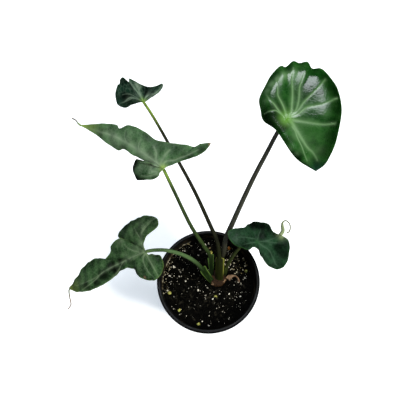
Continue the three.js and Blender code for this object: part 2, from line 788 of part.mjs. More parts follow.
// The dried sheath is a curled strip, troughed across its width
function drySheath() {
  const { route, widths, hollow, thickness } = DRY_SHEATH;
  const across = [-1, -0.5, 0, 0.5, 1];
  const steps = 3;
  const grid = across.map(() => []);
  const places = (route.length - 1) * steps;
  for (let step = 0; step <= places; step += 1) {
    const place = step / steps;
    const here = vector(through(route, place));
    const before = vector(through(route, Math.max(place - 0.1, 0)));
    const after = vector(through(route, Math.min(place + 0.1, route.length - 1)));
    const along = after.sub(before).normalize();
    const sideways = along.clone().cross(new THREE.Vector3(0.6, 0.8, 0)).normalize();
    const over = sideways.clone().cross(along).normalize();
    const half = through(widths.map((width) => [width]), place)[0];
    across.forEach((share, index) => {
      const point = here.clone().addScaledVector(sideways, share * half);
      grid[index].push(point.addScaledVector(over, hollow * (1 - share * share)));
    });
  }
  return thickened(weldedGrid(grid), thickness);
}

// The whole plant in its pot

function part(name, geometry, material) {
  const mesh = new THREE.Mesh(geometry, material);
  mesh.name = name;
  return mesh;
}

const plant = new THREE.Group();
plant.add(part('pot', pot(), MATERIALS.pot));
plant.add(part('soil', soil(), MATERIALS.soil));
plant.add(part('corm', corm(), MATERIALS.corm));
plant.add(part('dried_sheath', drySheath(), MATERIALS.dry));
for (const letter of Object.keys(LEAVES)) {
  const leaf = LEAVES[letter];
  const dark = letter === 'a' || letter === 'b';
  const colour = dark ? MATERIALS.darkStalk : MATERIALS.greenStalk;
  plant.add(part(`stalk_${letter}`, stalk(STALKS[letter], leaf), colour));
  plant.add(part(`blade_${letter}`, blade(leaf), MATERIALS.leaf));
}

export default plant;
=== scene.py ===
"""A young alocasia in a round black nursery pot, dressed as it stands under a soft studio light."""

import math

import bpy
import numpy as np
from bpy.props import FloatProperty, FloatVectorProperty, IntProperty, PointerProperty
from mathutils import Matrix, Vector


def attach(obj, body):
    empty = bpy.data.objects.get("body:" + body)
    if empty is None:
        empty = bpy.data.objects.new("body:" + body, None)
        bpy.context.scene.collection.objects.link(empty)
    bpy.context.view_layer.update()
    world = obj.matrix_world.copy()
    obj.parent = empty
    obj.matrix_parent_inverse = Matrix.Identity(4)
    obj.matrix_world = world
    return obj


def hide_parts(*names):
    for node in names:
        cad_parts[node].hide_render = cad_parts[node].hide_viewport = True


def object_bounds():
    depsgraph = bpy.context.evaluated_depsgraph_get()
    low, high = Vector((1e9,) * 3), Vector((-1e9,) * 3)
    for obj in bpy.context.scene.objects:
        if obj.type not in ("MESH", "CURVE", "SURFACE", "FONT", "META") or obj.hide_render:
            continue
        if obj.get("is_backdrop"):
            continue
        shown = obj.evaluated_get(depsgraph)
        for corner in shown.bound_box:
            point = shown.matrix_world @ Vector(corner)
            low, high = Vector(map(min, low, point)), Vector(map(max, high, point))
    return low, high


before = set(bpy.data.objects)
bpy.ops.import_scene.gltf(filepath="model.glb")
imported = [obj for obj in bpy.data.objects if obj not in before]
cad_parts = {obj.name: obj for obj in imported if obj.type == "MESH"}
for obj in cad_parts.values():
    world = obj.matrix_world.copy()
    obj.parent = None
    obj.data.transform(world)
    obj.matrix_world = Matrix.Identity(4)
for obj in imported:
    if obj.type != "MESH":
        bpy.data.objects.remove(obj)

bl_info = {
    "name": "Potted alocasia",
    "version": (1, 0, 0),
    "blender": (4, 5, 0),
    "location": "View3D > Sidebar > Alocasia",
    "description": "Adds a young alocasia in its nursery pot, piece by piece",
    "category": "Add Mesh",
}

MM = 0.001

# The pot, in millimetres
RIM_DIAMETER = 105
POT_HEIGHT = 92
BASE_DIAMETER = 75
WALL = 1.3
FLOOR = 2
RIM_HEIGHT = 9
RIM_WIDTH = 3.8
DRAIN_COUNT = 6
DRAIN_DIAMETER = 7
DRAIN_HEIGHT = 6.4

# The potting mix and what lies in it
SOIL_TOP = 77
SOIL_ROUGHNESS = 1
SOIL_GAP = 0.3
CORM_CENTRE = (10, 4.6)
CORM_RADIUS = 9.6
CORM_TOP = 78
CORM_DEPTH = 16
PERLITE_COUNT = 54
PERLITE_SIZE = (0.9, 1.7)
PERLITE_SEED = 11
PEBBLE_SINK = 0.2

# Arcs of the pot's edge in degrees: all of it, where dried mix clings, and where cream grains lie
ALL_ROUND = (0, 360)
RESIDUE_ARC = (112, 196)
CREAM_ARC = (14, 68)
RESIDUE_HEIGHT = 3.5

# Single grains: the old beads, the fresh amber one and the chunks of mix, by place and radius
PLACED = {
    "slow_release_beads": [
        (-40.5, -11, 1.9), (-30, -28.5, 1.8), (-10, -42.5, 1.9), (7.5, -14.5, 1.7), (2.5, 32, 2),
        (40, 12, 1.8),
    ],
    "fresh_beads": [(22.2, 36.9, 1.7)],
    "mix_chunks": [(1.8, 36.9, 2), (-20.9, 41.3, 2), (27, 31, 1.5)],
}

# Round grains: how many shapes, the first one's seed, how far they are stretched along three axes,
# how rough they are, and their rings and sides
GRAINS = {
    "crumb": (4, 20, (1, 0.8, 0.7), 0.25, 4, 6),
    "chip": (3, 60, (1.6, 0.8, 0.35), 0.3, 4, 7),
    "speck": (4, 80, (1, 0.85, 0.7), 0.22, 5, 7),
    "stone": (5, 90, (1.15, 0.62, 0.55), 0.16, 9, 12),
    "prill": (1, 99, (1.12, 1, 0.95), 0.02, 14, 20),
}

# Fibres: how many shapes, the first one's seed, their width, sides and steps
FIBRES = (4, 40, 0.34, 4, 8)

# Strips of the mix for strewing on: how far in from its edge they start and end, or from its middle
# where the start is past that, how high they lie, and the arc they fill
STRIPS = {
    "mix_crumbs": (99, 1.2, 0, ALL_ROUND),
    "mix_fibres": (99, 5, 0.25, ALL_ROUND),
    "mix_bark": (99, 3.5, 0.2, ALL_ROUND),
    "perlite_specks": (99, 1.5, 0.15, ALL_ROUND),
    "edge_residue": (4.5, 0.8, 0.2, RESIDUE_ARC),
    "cream_grains": (22, 2, 0.2, CREAM_ARC),
}

# What is strewn on them, or on the wall: its grains and finish, how many of them on a square metre,
# their smallest and largest size, how far they tilt in radians, and what is added to the seed
STREWN = {
    "mix_crumbs": ("crumb", "peat", 420000, (0.3, 1.5), 3.1, 0),
    "mix_fibres": ("fibre", "bark", 90000, (0.4, 1.1), 0.22, 1),
    "mix_bark": ("chip", "bark", 26000, (0.5, 1.9), 0.5, 2),
    "perlite_specks": ("speck", "perlite", 30000, (0.22, 0.75), 3.1, 3),
    "wall_residue": ("speck", "crust", 900000, (0.2, 0.8), 3.1, 6),
    "edge_residue": ("speck", "crust", 300000, (0.2, 0.8), 3.1, 7),
    "cream_grains": ("speck", "crust", 170000, (0.35, 1.2), 3.1, 8),
}

# What is laid grain by grain: its grains and finish, how far they tilt, and what is added to the seed
LAID = {
    "perlite": ("stone", "perlite", 0.6, 4),
    "slow_release_beads": ("prill", "bead", 0.3, 5),
    "fresh_beads": ("prill", "fresh_bead", 0.3, 9),
    "mix_chunks": ("stone", "crust", 0.4, 10),
}

# Leaf blades. Each lobe has a rib from the blade's foot to its apex, and the margin after and
# before the apex. Rounds join the lobes. Margin points read right, back, up, lift and reach,
# where lift and reach swell the blade's veins upwards and outwards. A scallop above one keeps the
# waves of the margin close to it
LEAVES = {
    "a": {
        "foot": (56, 86.6, 258),
        "face": (0.06, -0.3, 0.95),
        "crest": 0.78,
        "scallop": 5,
        "lobes": [
            {
                "rib": [(10, -11.5, -5), (17, -22, -11), (23.5, -32, -21)],
                "after": [(30.5, -27, -18, 3), (36, -17, -12, 5.5)],
                "before": [(-1.5, -15, -7, 2.5), (8.5, -25.5, -14, 3)],
            },
        ],
        "rounds": [
            [
                (39, -6, -7, 6.5), (41, 4, -3.5, 7), (41, 13.5, -0.5, 7), (38, 24.5, 3, 7),
                (30.5, 34, 6.5, 6.5), (25.5, 36.5, 9, 5.5), (20, 37.5, 7.5, 5.5), (16, 40.5, 11, 5),
                (10.5, 41, 9, 5.5), (5.5, 41, 11, 5), (0.5, 38, 8.5, 5), (-4, 37, 10.5, 5),
                (-10.5, 31.5, 7.5, 5), (-15, 23.5, 5, 5), (-19, 15.5, 1, 5.5), (-18, 8.5, -2.5, 5),
                (-16, 0.5, -4, 3.5), (-7.5, -6.5, -4.5, 1.5),
            ],
        ],
    },
    "b": {
        "foot": (-47.5, 100.1, 259),
        "face": (0.1, -0.3, 0.95),
        "crest": 0.6,
        "lobes": [
            {
                "rib": [(-7, 2.5, 0.5), (-13, 1, -1.5), (-19.5, 0, -4)],
                "after": [(-16, 1, -9.5), (-9.5, 2.5, -8)],
                "before": [(-20.5, 6.5, 1, 1), (-20.5, 3, -2, 0.5)],
            },
        ],
        "rounds": [
            [
                (-3.5, 1.5, -3.5), (1.5, 1.5, -2), (6, 3.5, 0.5), (11, 5.5, 2.5), (14.5, 8.5, 5.5),
                (14, 10.5, 7, -1), (10, 10.5, 4.5, -1), (5, 10.5, 3), (0.5, 13.5, 0, -1),
                (-3, 13, 3.5), (-6, 12.5, 7.5), (-9, 12, 11, 1), (-9.5, 9.5, 10.5, 1),
                (-13.5, 12.5, 11.5, 1), (-16, 12.5, 9, 1), (-17, 11, 6, 1), (-18.5, 10.5, 5, 1),
            ],
        ],
    },
    "c": {
        "foot": (-35, 62, 226.5),
        "face": (-0.05, -0.2, 0.97),
        "crest": 0.6,
        "lobes": [
            {
                "rib": [
                    (-14, 10, 2.5), (-25.5, 18.5, 2.5), (-41, 27.5, 2), (-53, 32.5, -0.5),
                    (-69.5, 40.5, -4.5),
                ],
                "after": [(-53.5, 29.5, -3), (-37.5, 17, -2.5), (-31.5, 17, -1.5), (-23, 11.5, -1.5)],
                "before": [
                    (-6.5, 22, 5.5, 1), (-14.5, 28, 7, 1), (-22.5, 32.5, 6.5, 1), (-28, 34.5, 5.5, 1),
                    (-35, 33, 3.5), (-37.5, 35.5, 4.5), (-47.5, 38, 2), (-57.5, 39, -0.5),
                ],
            },
        ],
        "rounds": [
            [
                (-15.5, 8, -2.5, 1), (-18.5, 7, -5, 2, 1), (-23, 13, -10.5, 3, 2),
                (-26, 8.5, -14.5, 4.5, 3.5), (-25, 2.5, -14.5, 5.5, 4), (-22.5, -3.5, -15, 5.5, 3),
                (-17, -4, -13, 4.5, 2), (-9.5, -5.5, -10, 3.5, 1), (-4.5, -4.5, -6, 2),
                (-2.5, -2.5, -2.5), (7, 4, 0.5), (14.5, 5.5, 2), (24.5, 8, 3.5), (31, 10.5, 5.5),
                (35, 14, 7.5), (36.5, 17, 9), (29.5, 16.5, 8), (24.5, 15.5, 5.5, 1),
                (17.5, 17, 6.5, 1), (11, 18.5, 5, 1), (3.5, 19, 6, 1),
            ],
        ],
        "thread": [(-68.5, 40, -4.5), (-71.5, 43, -5.5), (-74, 46.5, -7), (-77.5, 49, -8)],
    },
    "d": {
        "foot": (-62, 24.1, 114),
        "face": (-0.3, -0.16, 0.94),
        "crest": 0.6,
        "lobes": [
            {
                "rib": [
                    (-11, -4, -3), (-24, -7.5, -13), (-34.5, -11.5, -16), (-45, -17, -18.5),
                    (-57.5, -24, -23.5), (-83, -30.5, -36),
                ],
                "after": [
                    (-73.5, -35, -33.5, 1), (-55, -32.5, -28.5, 1), (-38, -24.5, -22.5),
                    (-26, -15.5, -18.5),
                ],
                "before": [
                    (-45.5, -4, -19.5), (-54, -1.5, -22, 2), (-67, -8, -28, 2), (-75, -19, -32.5, 1),
                ],
            },
            {
                "rib": [(2, -5, -1), (5.5, -11, -2.5), (9.5, -17.5, -5), (13, -24, -8.5)],
                "after": [(16.5, -18, -7.5, 1), (17, -10, -6, 1), (14, -3.5, -4.5, 1), (6, -2, -3.5)],
                "before": [(-9, -21, -14, 2), (-1, -25.5, -13, 1), (7, -26.5, -11, 1)],
            },
            {
                "rib": [(-4, 8, 2.5), (-4.5, 17, 5), (0.5, 26, 7.5), (10, 33, 6.5)],
                "after": [
                    (1.5, 36, 4.5, 1), (-9.5, 34.5, 1, 2), (-20.5, 30.5, -4.5, 2), (-28.5, 25, -10, 3),
                ],
                "before": [(-1, 10.5, 2.5), (1.5, 15.5, 4), (10.5, 22, 7), (12.5, 27, 7.5)],
            },
        ],
        "rounds": [
            [(-20.5, -13, -16, 1), (-13, -15, -13, 2)],
            [(2, -2.5, -2), (-1.5, 4.5, 0.5)],
            [
                (-30.5, 19, -13, 1), (-20, 13, -7.5), (-28, 14.5, -3.5), (-36.5, 8, -7, 1),
                (-38, 1.5, -12, 2),
            ],
        ],
        "thread": [
            (-81.5, -30, -35.5), (-84, -32.5, -39), (-84.5, -39, -46), (-84.5, -45, -52),
            (-88, -49.5, -55),
        ],
    },
    "e": {
        "foot": (46.5, 29.1, 131),
        "face": (0.15, -0.2, 0.97),
        "crest": 0.6,
        "lobes": [
            {
                "rib": [(10.5, 2, -1.5), (18.5, 5.5, -3), (24.5, 8.5, -5)],
                "after": [(30.5, 3.5, -4, -1), (32, -3.5, -5.5, -2)],
                "before": [(16.5, 13.5, -7, 1), (20.5, 9.5, -5.5)],
            },
        ],
        "rounds": [
            [
                (32, -7.5, -10.5, -2), (31, -14.5, -15, -1), (26.5, -20.5, -15.5, 1),
                (20.5, -23.5, -14, 2), (13, -22, -10.5, 2), (8, -18.5, -8, 1), (4, -12, -5, 1),
                (1.5, -7, -3.5), (-3.5, -4.5, -1.5), (-7.5, -7, -2.5), (-12, -7, 1.5, 1),
                (-21, -5.5, 8, 2), (-26.5, -1, 12, 2), (-28.5, 4.5, 13.5, 2), (-26.5, 8, 13, 2),
                (-20, 11, 9, 2), (-11.5, 14.5, 0.5, 3), (-7.5, 19, -4, 3), (-0.5, 22, -5.5, 3),
                (7.5, 21.5, -7, 3), (13.5, 20, -7.5, 3),
            ],
        ],
        "thread": [
            (23, 8, -4.5), (26, 12.5, -4.5), (25.5, 17, -3), (26, 20.5, -2), (29, 22, -1.5),
            (32, 19.5, -1.5), (33, 15.5, -2), (32, 11.5, -3), (29.5, 10, -3.5),
        ],
    },
}

# Where the veins run, each with its strength: places along the margin and shares of the way out
VEINS = {
    "a": [
        (1, [(16.9, 0), (17.05, 0.24), (16.8, 0.54), (16.75, 0.76), (16.5, 0.88)]),
        (0.6, [(17.3, 0), (17.4, 0.4), (17.9, 0.64), (18.4, 0.92)]),
        (1, [(14.1, 0), (14.1, 0.1), (15, 0.34), (15.4, 0.56), (15, 0.7), (14.8, 0.86)]),
        (1.3, [(7.75, 0), (7.75, 0.12), (10, 0.26), (11.45, 0.48), (12.05, 0.66), (12.05, 0.86)]),
        (1.1, [(6.45, 0), (6.45, 0.18), (7.65, 0.3), (9.55, 0.5), (9.95, 0.62), (10, 0.78)]),
        (1.2, [(6.15, 0), (6.15, 0.22), (6.8, 0.38), (6.9, 0.6), (6.85, 0.88)]),
        (1.2, [(5.2, 0), (5.2, 0.2), (5.65, 0.36), (5.35, 0.5), (5.15, 0.66), (5.3, 0.92)]),
        (1.3, [(3.1, 0), (3.1, 0.22), (3.05, 0.46), (3.1, 0.68), (3.35, 0.88)]),
        (1.8, [(2.98, 0), (2.85, 0.06), (2.3, 0.02), (1.9, 0), (1.4, 0.04), (1.2, 0.24), (0.8, 0.46)]),
        (0.8, [
            (20.45, 0.02), (20.7, 0.05), (20.9, 0.15), (21.15, 0.22), (21.6, 0.28), (21.95, 0.4),
            (22.3, 0.56),
        ]),
    ],
    "b": [
        (0.8, [(19.5, 0), (19.75, 0.12), (20.5, 0.14), (21.25, 0.06), (21.75, 0.26)]),
        (0.9, [(9.8, 0), (9.8, 0.32), (6.9, 0.52), (7.05, 0.82), (7.65, 0.98)]),
        (0.9, [(13.25, 0), (13.25, 0.22), (14.6, 0.58), (14.5, 1)]),
        (0.7, [(13.15, 0), (13.15, 0.44), (11.75, 0.88), (12.25, 0.98)]),
        (0.4, [(19.15, 0), (19.15, 0.38), (20.05, 0.62)]),
    ],
    "c": [
        (1.2, [(25.45, 0), (25.7, 0.12), (25.75, 0.46), (26, 0.64)]),
        (1.1, [(25.25, 0), (25.25, 0.14), (24.95, 0.5), (24.5, 0.72)]),
        (0.7, [(24.75, 0), (24.75, 0.24), (20.5, 0.44), (19.8, 0.74)]),
        (0.8, [(5.4, 0.28), (11.65, 0.34), (11.45, 0.64), (9.95, 0.64)]),
        (0.7, [(5, 0), (8.95, 0.32), (11.5, 0.46)]),
        (0.4, [(27.6, 0.02), (27.5, 0.3), (27.2, 0.6)]),
        (0.4, [(29, 0.02), (29.2, 0.3), (29.2, 0.7)]),
    ],
    "d": [
        (1, [(25.9, 0), (25, 0.02), (24.1, 0.12), (23.7, 0.52)]),
        (0.7, [(18.5, 0.02), (19.2, 0.12), (20.15, 0.18)]),
        (0.8, [(30.25, 0), (30.25, 0.1), (29.2, 0.4), (28.45, 0.66)]),
        (0.7, [(3.35, 0), (3.35, 0.12), (3.35, 0.68), (3, 1)]),
        (0.7, [(6.3, 0), (6.3, 0.2), (6.8, 0.3), (7.7, 0.42), (9.05, 0.64)]),
        (0.6, [(14.3, 0), (14.2, 0.4), (13.45, 0.76)]),
        (0.5, [(1.6, 0), (1.5, 0.4), (1.2, 0.8)]),
    ],
    "e": [
        (0.9, [(19.75, 0), (19.75, 0.16), (17.1, 0.36), (15.25, 0.76)]),
        (0.8, [(14.15, 0), (14.15, 0.14), (13.95, 0.64)]),
        (0.8, [(21.5, 0), (21.6, 0.24), (21.85, 0.64)]),
        (1, [(4.2, 0), (4.4, 0.38), (5.6, 0.72), (5.65, 0.88)]),
        (0.6, [(2.2, 0.02), (2.1, 0.2), (1.8, 0.5)]),
    ],
}

# Painted shade on parts of a blade, or painted light and highlight where the strength is below zero:
# a place, a reach, a radius and a strength
SHADES = {
    "a": [
        (17.5, 0.5, 6, 0.7), (19, 0.85, 8, 0.85), (20.1, 0.5, 4.5, 0.8), (20.9, 0.7, 3, 0.45),
        (21.9, 0.9, 4, 0.65), (22.6, 0.75, 6, 0.4), (0.4, 0.8, 9, 0.5), (1.6, 0.85, 8, 0.7),
        (2.45, 0.88, 8, 0.7), (3.4, 0.9, 8, 0.72), (4.6, 0.9, 9, 0.75), (5.7, 0.92, 9, 0.75),
        (6.6, 0.9, 8, 0.6), (8.5, 0.5, 8, 0.4), (15.8, 0.6, 4, 0.4), (3, 0.35, 5, -0.12),
        (20.9, 0.3, 3, -0.25), (17.1, 0.86, 2, -0.3), (16.2, 0.9, 2.5, -0.7), (15.5, 0.88, 3, -0.95),
        (14.6, 0.82, 3, -0.9), (13.7, 0.8, 3, -0.7), (12.7, 0.78, 3.5, -0.5), (11.6, 0.76, 3.5, -0.4),
        (10.6, 0.74, 3.5, -0.3), (1.95, 0.32, 6, -0.15), (1.5, 0.48, 4, -0.2), (21.4, 0.94, 2, -0.5),
        (21.75, 0.86, 2, -0.35), (5.4, 0.6, 4, -0.2), (4.15, 0.66, 3, -0.2), (22.3, 0.34, 3, -0.15),
        (21.7, 0.5, 3, -0.15), (6.35, 0.68, 3, 0.6), (6.1, 0.84, 4, 0.7), (19.4, 0.62, 4, 0.7),
        (21, 0.66, 2.5, 0.4),
    ],
    "b": [
        (8, 0.4, 4, 0.75), (11, 0.85, 4, 0.5), (16.1, 0.9, 3, 0.5), (20.5, 0.3, 5, 0.9),
        (1.5, 0.7, 5, 0.4), (9.7, 0.78, 3, 0.5), (10.2, 0.55, 3, 0.8), (4.3, 0.72, 1.8, -0.6),
        (5.2, 0.8, 1.8, -0.7), (6.2, 0.86, 1.8, -0.6), (12.9, 0.75, 2.8, -0.9),
        (13.3, 0.35, 2.2, -0.7), (8.4, 0.3, 3, -0.35),
    ],
    "c": [
        (10.5, 0.9, 5, 0.9), (5.5, 0.6, 3, 0.9), (8, 0.85, 5, 0.9), (9.6, 0.9, 3, 0.6),
        (2.8, 0.95, 3, 0.7), (26.65, 0.85, 5, 0.45), (25.5, 0.85, 7, 0.4), (24.5, 0.85, 7, 0.4),
        (22.8, 0.7, 7, 0.35), (18.6, 0.9, 5, 0.75), (19.8, 0.95, 4, 0.6), (17, 0.9, 4, 0.6),
        (2, 0.5, 9, -0.3), (28.9, 0.4, 6, -0.25), (27.5, 0.1, 7, -0.3), (7.2, 0.5, 6, -0.4),
        (8.6, 0.58, 4, -0.45), (5.4, 0.38, 3, -0.7), (30.5, 0.02, 6, -0.25),
    ],
    "d": [
        (2.1, 0.35, 6, 0.93), (2.5, 0.05, 6, 0.95), (31.7, 0.06, 5, 0.92), (1.95, 0.65, 4, 0.8),
        (13, 0.7, 6, 0.5), (32.4, 0.12, 5, 0.92), (3.1, 0.4, 4.5, 0.9), (1.2, 0.6, 5, 0.75),
        (12.5, 0.1, 5, 0.35), (24, 0.95, 6, 0.4), (28.6, 0.8, 3.5, 0.35), (19.5, 0.6, 4, 0.4),
        (26.2, 0.5, 3, 0.5), (27.6, 0.35, 6, -0.3), (22.8, 0.5, 5, -0.15), (24.2, 0.5, 5, -0.15),
        (30.6, 0.36, 4, -0.2), (34.4, 0.5, 7, -0.15), (6.7, 0.7, 5, -0.1), (23, 0.36, 5, -0.25),
        (28.2, 0.9, 4, -0.4), (4.2, 0.42, 4, 0.5),
    ],
    "e": [
        (20.9, 0.85, 7, 0.88), (21.8, 0.8, 6, 0.85), (23.3, 0.85, 5, 0.75), (22.6, 0.4, 5, 0.6),
        (23.1, 0.05, 3.5, 0.5), (3.5, 0.85, 6, 0.75), (2.6, 0.6, 5, 0.65), (1.8, 0.88, 5, 0.5),
        (5, 0.5, 4, 0.6), (13.6, 0.6, 4, 0.4), (2.5, 0.3, 2, -0.35), (15.1, 0.8, 5, -0.35),
        (16.6, 0.7, 6, -0.2), (7.3, 0.6, 4, -0.12), (5.8, 0.75, 4, -0.12),
    ],
}

# Stalks: the route, the way the sheath opens, its length, its half widths at its base and ears, and
# the stalk's radii above it and under the blade
STALKS = {
    "a": {
        "route": [
            (12.7, 10.1, 78), (13.3, 16.1, 88.5), (15, 23.6, 101), (17, 34.6, 123.5),
            (22.5, 43.6, 145), (29.9, 55.1, 172), (38, 67, 199), (45.2, 75.6, 223),
            (51.9, 83.2, 246.5), (56, 86.6, 258),
        ],
        "opens": (0, 1, 0),
        "sheath": 8,
        "base": 2.8,
        "ears": (2.8, 2.8),
        "neck": 2.9,
        "end": 1.5,
    },
    "b": {
        "route": [
            (11.4, 4.2, 78), (11.3, 12.2, 92), (10.7, 22.4, 106), (8.1, 32.9, 124), (2.2, 41.7, 141),
            (-12.3, 62.7, 178), (-24.8, 77.7, 206), (-41.8, 95.7, 246), (-47.5, 100.1, 259),
        ],
        "opens": (0.15, 1, 0),
        "sheath": 29,
        "base": 4.2,
        "ears": (3.6, 5.2),
        "neck": 2.2,
        "end": 1,
    },
    "c": {
        "route": [
            (4, 5.9, 78), (2.9, 12.2, 91.7), (0.9, 22.1, 109.5), (-4.8, 27.6, 124.7),
            (-15.7, 37.3, 155.9), (-27.6, 52.7, 198.1), (-34.4, 61.3, 224.4),
        ],
        "opens": (0.6, -0.5, 0.3),
        "sheath": 31,
        "base": 2.4,
        "ears": (5.2, 3),
        "neck": 2,
        "end": 1.3,
    },
    "d": {
        "route": [
            (4.5, 0.2, 78), (-3.5, 6.6, 92.5), (-11, 13.6, 106.5), (-22.5, 18.6, 118.5),
            (-39.5, 22.6, 124), (-52.5, 24.1, 119.5), (-61, 24.1, 114.6),
        ],
        "opens": (0.6, -0.3, 0.6),
        "sheath": 24,
        "base": 3,
        "ears": (5.2, 3),
        "neck": 2.1,
        "end": 1.7,
    },
    "e": {
        "route": [
            (17.6, 8.7, 78), (18.8, 13.5, 92), (21.8, 17.6, 104), (25.7, 21.9, 113), (29.2, 25.3, 119),
            (33.7, 29.3, 125), (39.2, 30.8, 129), (46.5, 29.1, 131),
        ],
        "opens": (-0.6, 0.8, 0),
        "sheath": 14,
        "base": 2.1,
        "ears": (2.2, 2.2),
        "neck": 1.9,
        "end": 1.4,
    },
}

# The corm's side: heights and widths as shares, and the rings and sides of its skin
CORM_LEVELS = [(0, 0.55), (0.15, 0.82), (0.4, 0.95), (0.62, 0.9), (0.78, 1), (0.9, 0.98), (1, 0.9)]
CORM_STEPS = 44
CORM_SIDES = 96

# Curled dry sheath beside the corm
DRY_SHEATH = {
    "route": [
        (20.5, 3.1, 78.6), (23.5, 5.6, 82.5), (28, 5.1, 83.5), (31, 2.1, 81.5), (31.5, -0.2, 79.8),
    ],
    "widths": [2.6, 2.4, 2, 1.6, 0.8],
    "hollow": 0.9,
    "thickness": 0.5,
}

# How thick a sheath is at its open side, and the sides of half a stalk
SHEATH_WALL = 1.2
HALF_SIDES = 18

# Rows of points from a blade's veins to its margin, and the spacing of its columns
BLADE_ROWS = 37
BLADE_SPACING = 0.8

# The camera, in metres and degrees, and its lens over its sensor in millimetres
CAMERA_PLACE = (-0.00037, -0.0777, 0.52592)
CAMERA_TILT = 19.691
LENS = 37
SENSOR = 36

# Lights over the stage: place, width, colour, and whether gloss mirrors them
LIGHTS_AIM = (0, 0.03, 0.12)
LIGHTS = {
    "key": ((1.08, -0.54, 1.22), 0.3, "#fffaf0", False),
    "ceiling": ((0.1, 0.32, 1.45), 0.66, "#f4f8ff", True),
}

# Sockets of the Mix node on colours, and of Random Value on vectors and numbers
FACTOR, FIRST, SECOND = 0, 6, 7
VECTOR_MIN, VECTOR_MAX, NUMBER_MIN, NUMBER_MAX = 0, 1, 2, 3

# The lights are bright, so a pigment is darker than it looks by this share
PIGMENT = 0.52


def linear(code):
    """The linear colour of an sRGB code such as #3b5534."""
    shares = [int(code[place : place + 2], 16) / 255 for place in (1, 3, 5)]
    return tuple(s / 12.92 if s <= 0.04045 else ((s + 0.055) / 1.055) ** 2.4 for s in shares)


def shown(colour, share=PIGMENT):
    """The pigment that looks like an sRGB code where the lights fall on it. A pigment stays."""
    if isinstance(colour, str):
        return (*(share * channel for channel in linear(colour)), 1)
    return colour


def colour_setting(name, code, description):
    return FloatVectorProperty(
        name=name, description=description, default=linear(code), subtype="COLOR", size=3, min=0, max=1
    )


def length_setting(name, millimetres, description):
    length = millimetres * MM
    return FloatProperty(
        name=name, description=description, default=length, subtype="DISTANCE", unit="LENGTH", min=0
    )


def share_setting(name, share, description):
    return FloatProperty(name=name, description=description, default=share, subtype="FACTOR", min=0, max=1)


def power_setting(name, watts, description):
    return FloatProperty(name=name, description=description, default=watts, unit="POWER", min=0)


class PotSettings(bpy.types.PropertyGroup):
    plastic: colour_setting("Plastic", "#0a0b0d", "Colour of the pot's plastic")
    dust: colour_setting("Dust", "#5a4a38", "Colour of the dry soil left on the pot's wall")
    gloss: share_setting("Roughness", 0.5, "How much the plastic scatters its reflections")


class MixSettings(bpy.types.PropertyGroup):
    peat: colour_setting("Peat", "#080806", "Colour of the damp peat")
    bark: colour_setting("Bark", "#1a1812", "Colour of the bark and fibres")
    perlite: colour_setting("Perlite", "#f0ecd8", "Colour of the perlite")
    bead: colour_setting("Beads", "#a8a858", "Colour of the slow release beads")
    seed: IntProperty(name="Seed", description="Order of the loose grains", default=7, min=0)


class PlantSettings(bpy.types.PropertyGroup):
    blade: length_setting("Blade thickness", 0.55, "Thickness of a leaf blade at its middle")
    vein: length_setting("Vein width", 0.8, "Half width of a vein at its root")
    ripple: length_setting("Ripple", 0.35, "Height of the small ripples in a blade")


class StageSettings(bpy.types.PropertyGroup):
    floor: colour_setting("Floor", "#f4f4f4", "Colour of the surface the pot stands on")
    key: power_setting("Key light", 32, "Power of the light at the right")
    ceiling: power_setting("Ceiling light", 11, "Power of the light above")


# Curves and surfaces, in millimetres


def table_of(points, width):
    """Points as rows of a table, with noughts where they are shorter than its width."""
    table = np.zeros((len(points), width))
    for row, point in enumerate(points):
        table[row, : len(point)] = point
    return table


def through(rows, places):
    """Points of the curve through rows of numbers, at places counted in rows."""
    places = np.atleast_1d(np.asarray(places, float))
    last = len(rows) - 1
    index = np.clip(places.astype(int), 0, last - 1)
    t = (places - index)[:, None]
    p1 = rows[index]
    p2 = rows[index + 1]
    p0 = np.where(index[:, None] > 0, rows[np.maximum(index - 1, 0)], 2 * p1 - p2)
    p3 = np.where(index[:, None] + 2 <= last, rows[np.minimum(index + 2, last)], 2 * p2 - p1)
    bend = 2 * p0 - 5 * p1 + 4 * p2 - p3
    twist = 3 * p1 - p0 - 3 * p2 + p3
    return (2 * p1 + (p2 - p0) * t + bend * t * t + twist * t**3) / 2


def unit(vectors):
    vectors = np.asarray(vectors, float)
    size = np.linalg.norm(vectors, axis=-1, keepdims=True)
    return vectors / np.maximum(size, 1e-9)


def swelling(reach, crest):
    """How much of a vein's swelling shows at a share of its length."""
    rise = smooth(0, crest, reach)
    fall = np.cos(np.clip((reach - crest) / (1 - crest), 0, 1) * math.pi / 2)
    return rise * fall


